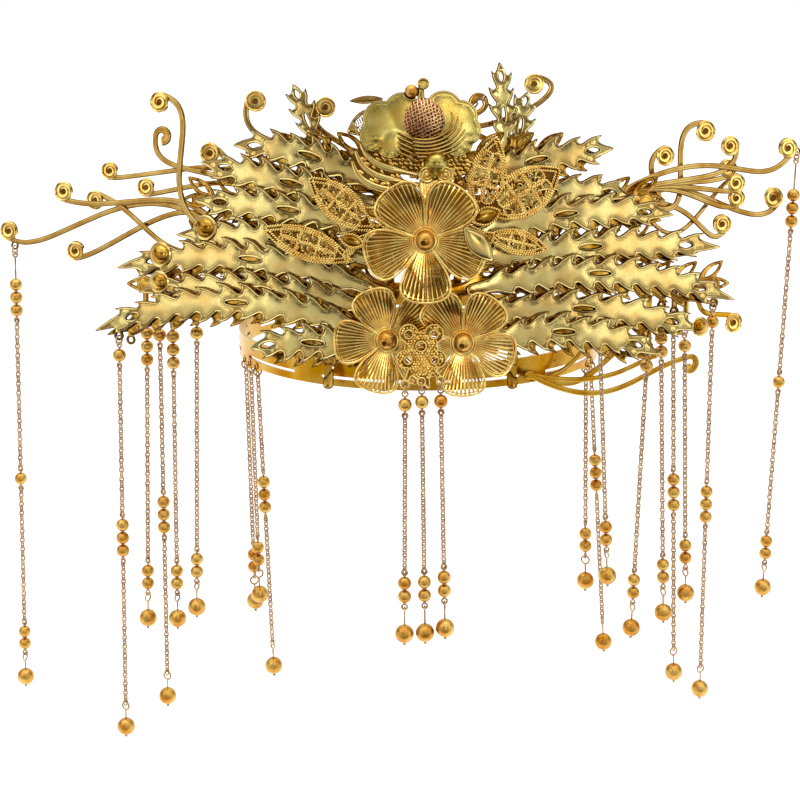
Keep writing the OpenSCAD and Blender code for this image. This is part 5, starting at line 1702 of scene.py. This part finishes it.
class CROWN_OT_stage(bpy.types.Operator):
    """Pale floor, soft studio light, and the camera at the photograph's angle"""

    bl_idname = "crown.stage"
    bl_label = "Stage"

    def execute(self, context):
        scene = context.scene
        back = Vector((0, -math.cos(CAMERA_RISE), math.sin(CAMERA_RISE)))
        lens = bpy.data.cameras.new("camera")
        lens.sensor_width = SENSOR
        lens.lens = SENSOR * CAMERA_AWAY / CAMERA_WIDE
        lens.clip_start = 0.01
        camera = bpy.data.objects.new("camera", lens)
        camera.location = (Vector(CAMERA_AIM) + back * CAMERA_AWAY) * MM
        camera.rotation_euler = (-back).to_track_quat("-Z", "Y").to_euler()
        scene.collection.objects.link(camera)
        scene.camera = camera

        floor_mesh = bpy.data.meshes.new("floor")
        wide, near, low = 8.0, -0.3, -0.30
        floor_mesh.from_pydata([(-wide, near, low), (wide, near, low), (wide, wide, low),
                                (-wide, wide, low)], [], [(0, 1, 2, 3)])
        floor = bpy.data.objects.new("floor", floor_mesh)
        scene.collection.objects.link(floor)
        white = bpy.data.materials.new("matt paper")
        white.use_nodes = True
        shader = white.node_tree.nodes["Principled BSDF"]
        shader.inputs["Base Color"].default_value = (0.9, 0.9, 0.9, 1)
        shader.inputs["Roughness"].default_value = 0.9
        shader.inputs["Emission Color"].default_value = (1, 1, 1, 1)
        shader.inputs["Emission Strength"].default_value = 0.4
        floor_mesh.materials.append(white)

        for name, place, size, power in (
                ("left softbox", (-1.0, -0.7, 0.5), 1.0, 2.8),
                ("right softbox", (1.0, -0.6, 0.4), 0.9, 2.2),
                ("top softbox", (0.0, 0.0, 1.1), 1.0, 4.5),
                ("front card", (0.2, -1.3, 0.4), 0.3, 1.0)):
            light = bpy.data.lights.new(name, "AREA")
            light.size = size
            light.energy = power
            lamp = bpy.data.objects.new(name, light)
            lamp.location = place
            lamp.rotation_euler = (Vector((0, -0.06, 0)) - Vector(place)).to_track_quat(
                "-Z", "Y").to_euler()
            scene.collection.objects.link(lamp)

        world = bpy.data.worlds.new("studio")
        scene.world = world
        world.use_nodes = True
        tree = world.node_tree
        tree.nodes.clear()
        way = add(tree, "ShaderNodeTexCoord").outputs["Generated"]
        parts = add(tree, "ShaderNodeSeparateXYZ", {"Vector": way})
        high = add(tree, "ShaderNodeMapRange",
                   {"Value": parts.outputs["Z"], "From Min": -1.0, "From Max": 1.0})
        bands = add(tree, "ShaderNodeValToRGB", {"Fac": high.outputs[0]})
        steps = [(0.0, 0.2), (0.17, 0.04), (0.26, 0.12), (0.31, 0.72), (0.6, 0.86), (0.64, 0.1),
                 (0.73, 0.04), (0.79, 1.3), (1.0, 1.5)]
        ramp_stops(bands.color_ramp, steps)
        patches = add(tree, "ShaderNodeTexNoise", {"Vector": way, "Scale": 1.7, "Detail": 1.0})
        patch = add(tree, "ShaderNodeMapRange",
                    {"Value": patches.outputs["Fac"], "From Min": 0.38, "From Max": 0.5,
                     "To Min": 0.75, "To Max": 1.05})
        front = add(tree, "ShaderNodeMix",
                    {0: 1.0, 6: bands.outputs["Color"], 7: patch.outputs[0]},
                    data_type="RGBA", blend_type="MULTIPLY")
        behind = add(tree, "ShaderNodeMapRange",
                     {"Value": parts.outputs["Y"], "From Min": 0.35, "From Max": 0.6})
        sky = add(tree, "ShaderNodeMix",
                  {0: behind.outputs[0], 6: front.outputs[2], 7: (1.0, 1.0, 1.0, 1.0)},
                  data_type="RGBA")
        glow = add(tree, "ShaderNodeBackground", {"Color": sky.outputs[2], "Strength": 1.0})
        add(tree, "ShaderNodeOutputWorld", {"Surface": glow.outputs["Background"]})
        scene.view_settings.view_transform = "Standard"
        return {"FINISHED"}


class CROWN_PT_panel(bpy.types.Panel):
    """Lists the crown's groups of pieces"""

    bl_label = "Phoenix crown"
    bl_space_type = "VIEW_3D"
    bl_region_type = "UI"
    bl_category = "Crown"

    def draw(self, context):
        for group in (context.scene.crown_sizes, context.scene.crown_colours):
            for name in group.bl_rna.properties.keys():
                if name not in ("rna_type", "name"):
                    self.layout.prop(group, name)
        for operator in OPERATORS:
            self.layout.operator(operator.bl_idname)


OPERATORS = (
    CROWN_OT_frame, CROWN_OT_plates, CROWN_OT_curls, CROWN_OT_flowers, CROWN_OT_leaves,
    CROWN_OT_ribbed_leaf, CROWN_OT_cloud, CROWN_OT_bird, CROWN_OT_crest, CROWN_OT_strands,
    CROWN_OT_stage)
CLASSES = (CrownSizes, CrownColours, *OPERATORS, CROWN_PT_panel)


def register():
    for kind in CLASSES:
        bpy.utils.register_class(kind)
    bpy.types.Scene.crown_sizes = bpy.props.PointerProperty(type=CrownSizes)
    bpy.types.Scene.crown_colours = bpy.props.PointerProperty(type=CrownColours)


def unregister():
    del bpy.types.Scene.crown_sizes
    del bpy.types.Scene.crown_colours
    for kind in reversed(CLASSES):
        bpy.utils.unregister_class(kind)


def main():
    """Builds every group of pieces in order."""
    register()
    bpy.ops.crown.frame()
    bpy.ops.crown.plates()
    bpy.ops.crown.curls()
    bpy.ops.crown.flowers()
    bpy.ops.crown.leaves()
    bpy.ops.crown.ribbed_leaf()
    bpy.ops.crown.cloud()
    bpy.ops.crown.bird()
    bpy.ops.crown.crest()
    bpy.ops.crown.strands()
    bpy.ops.crown.stage()


if __name__ == "__main__":
    main()
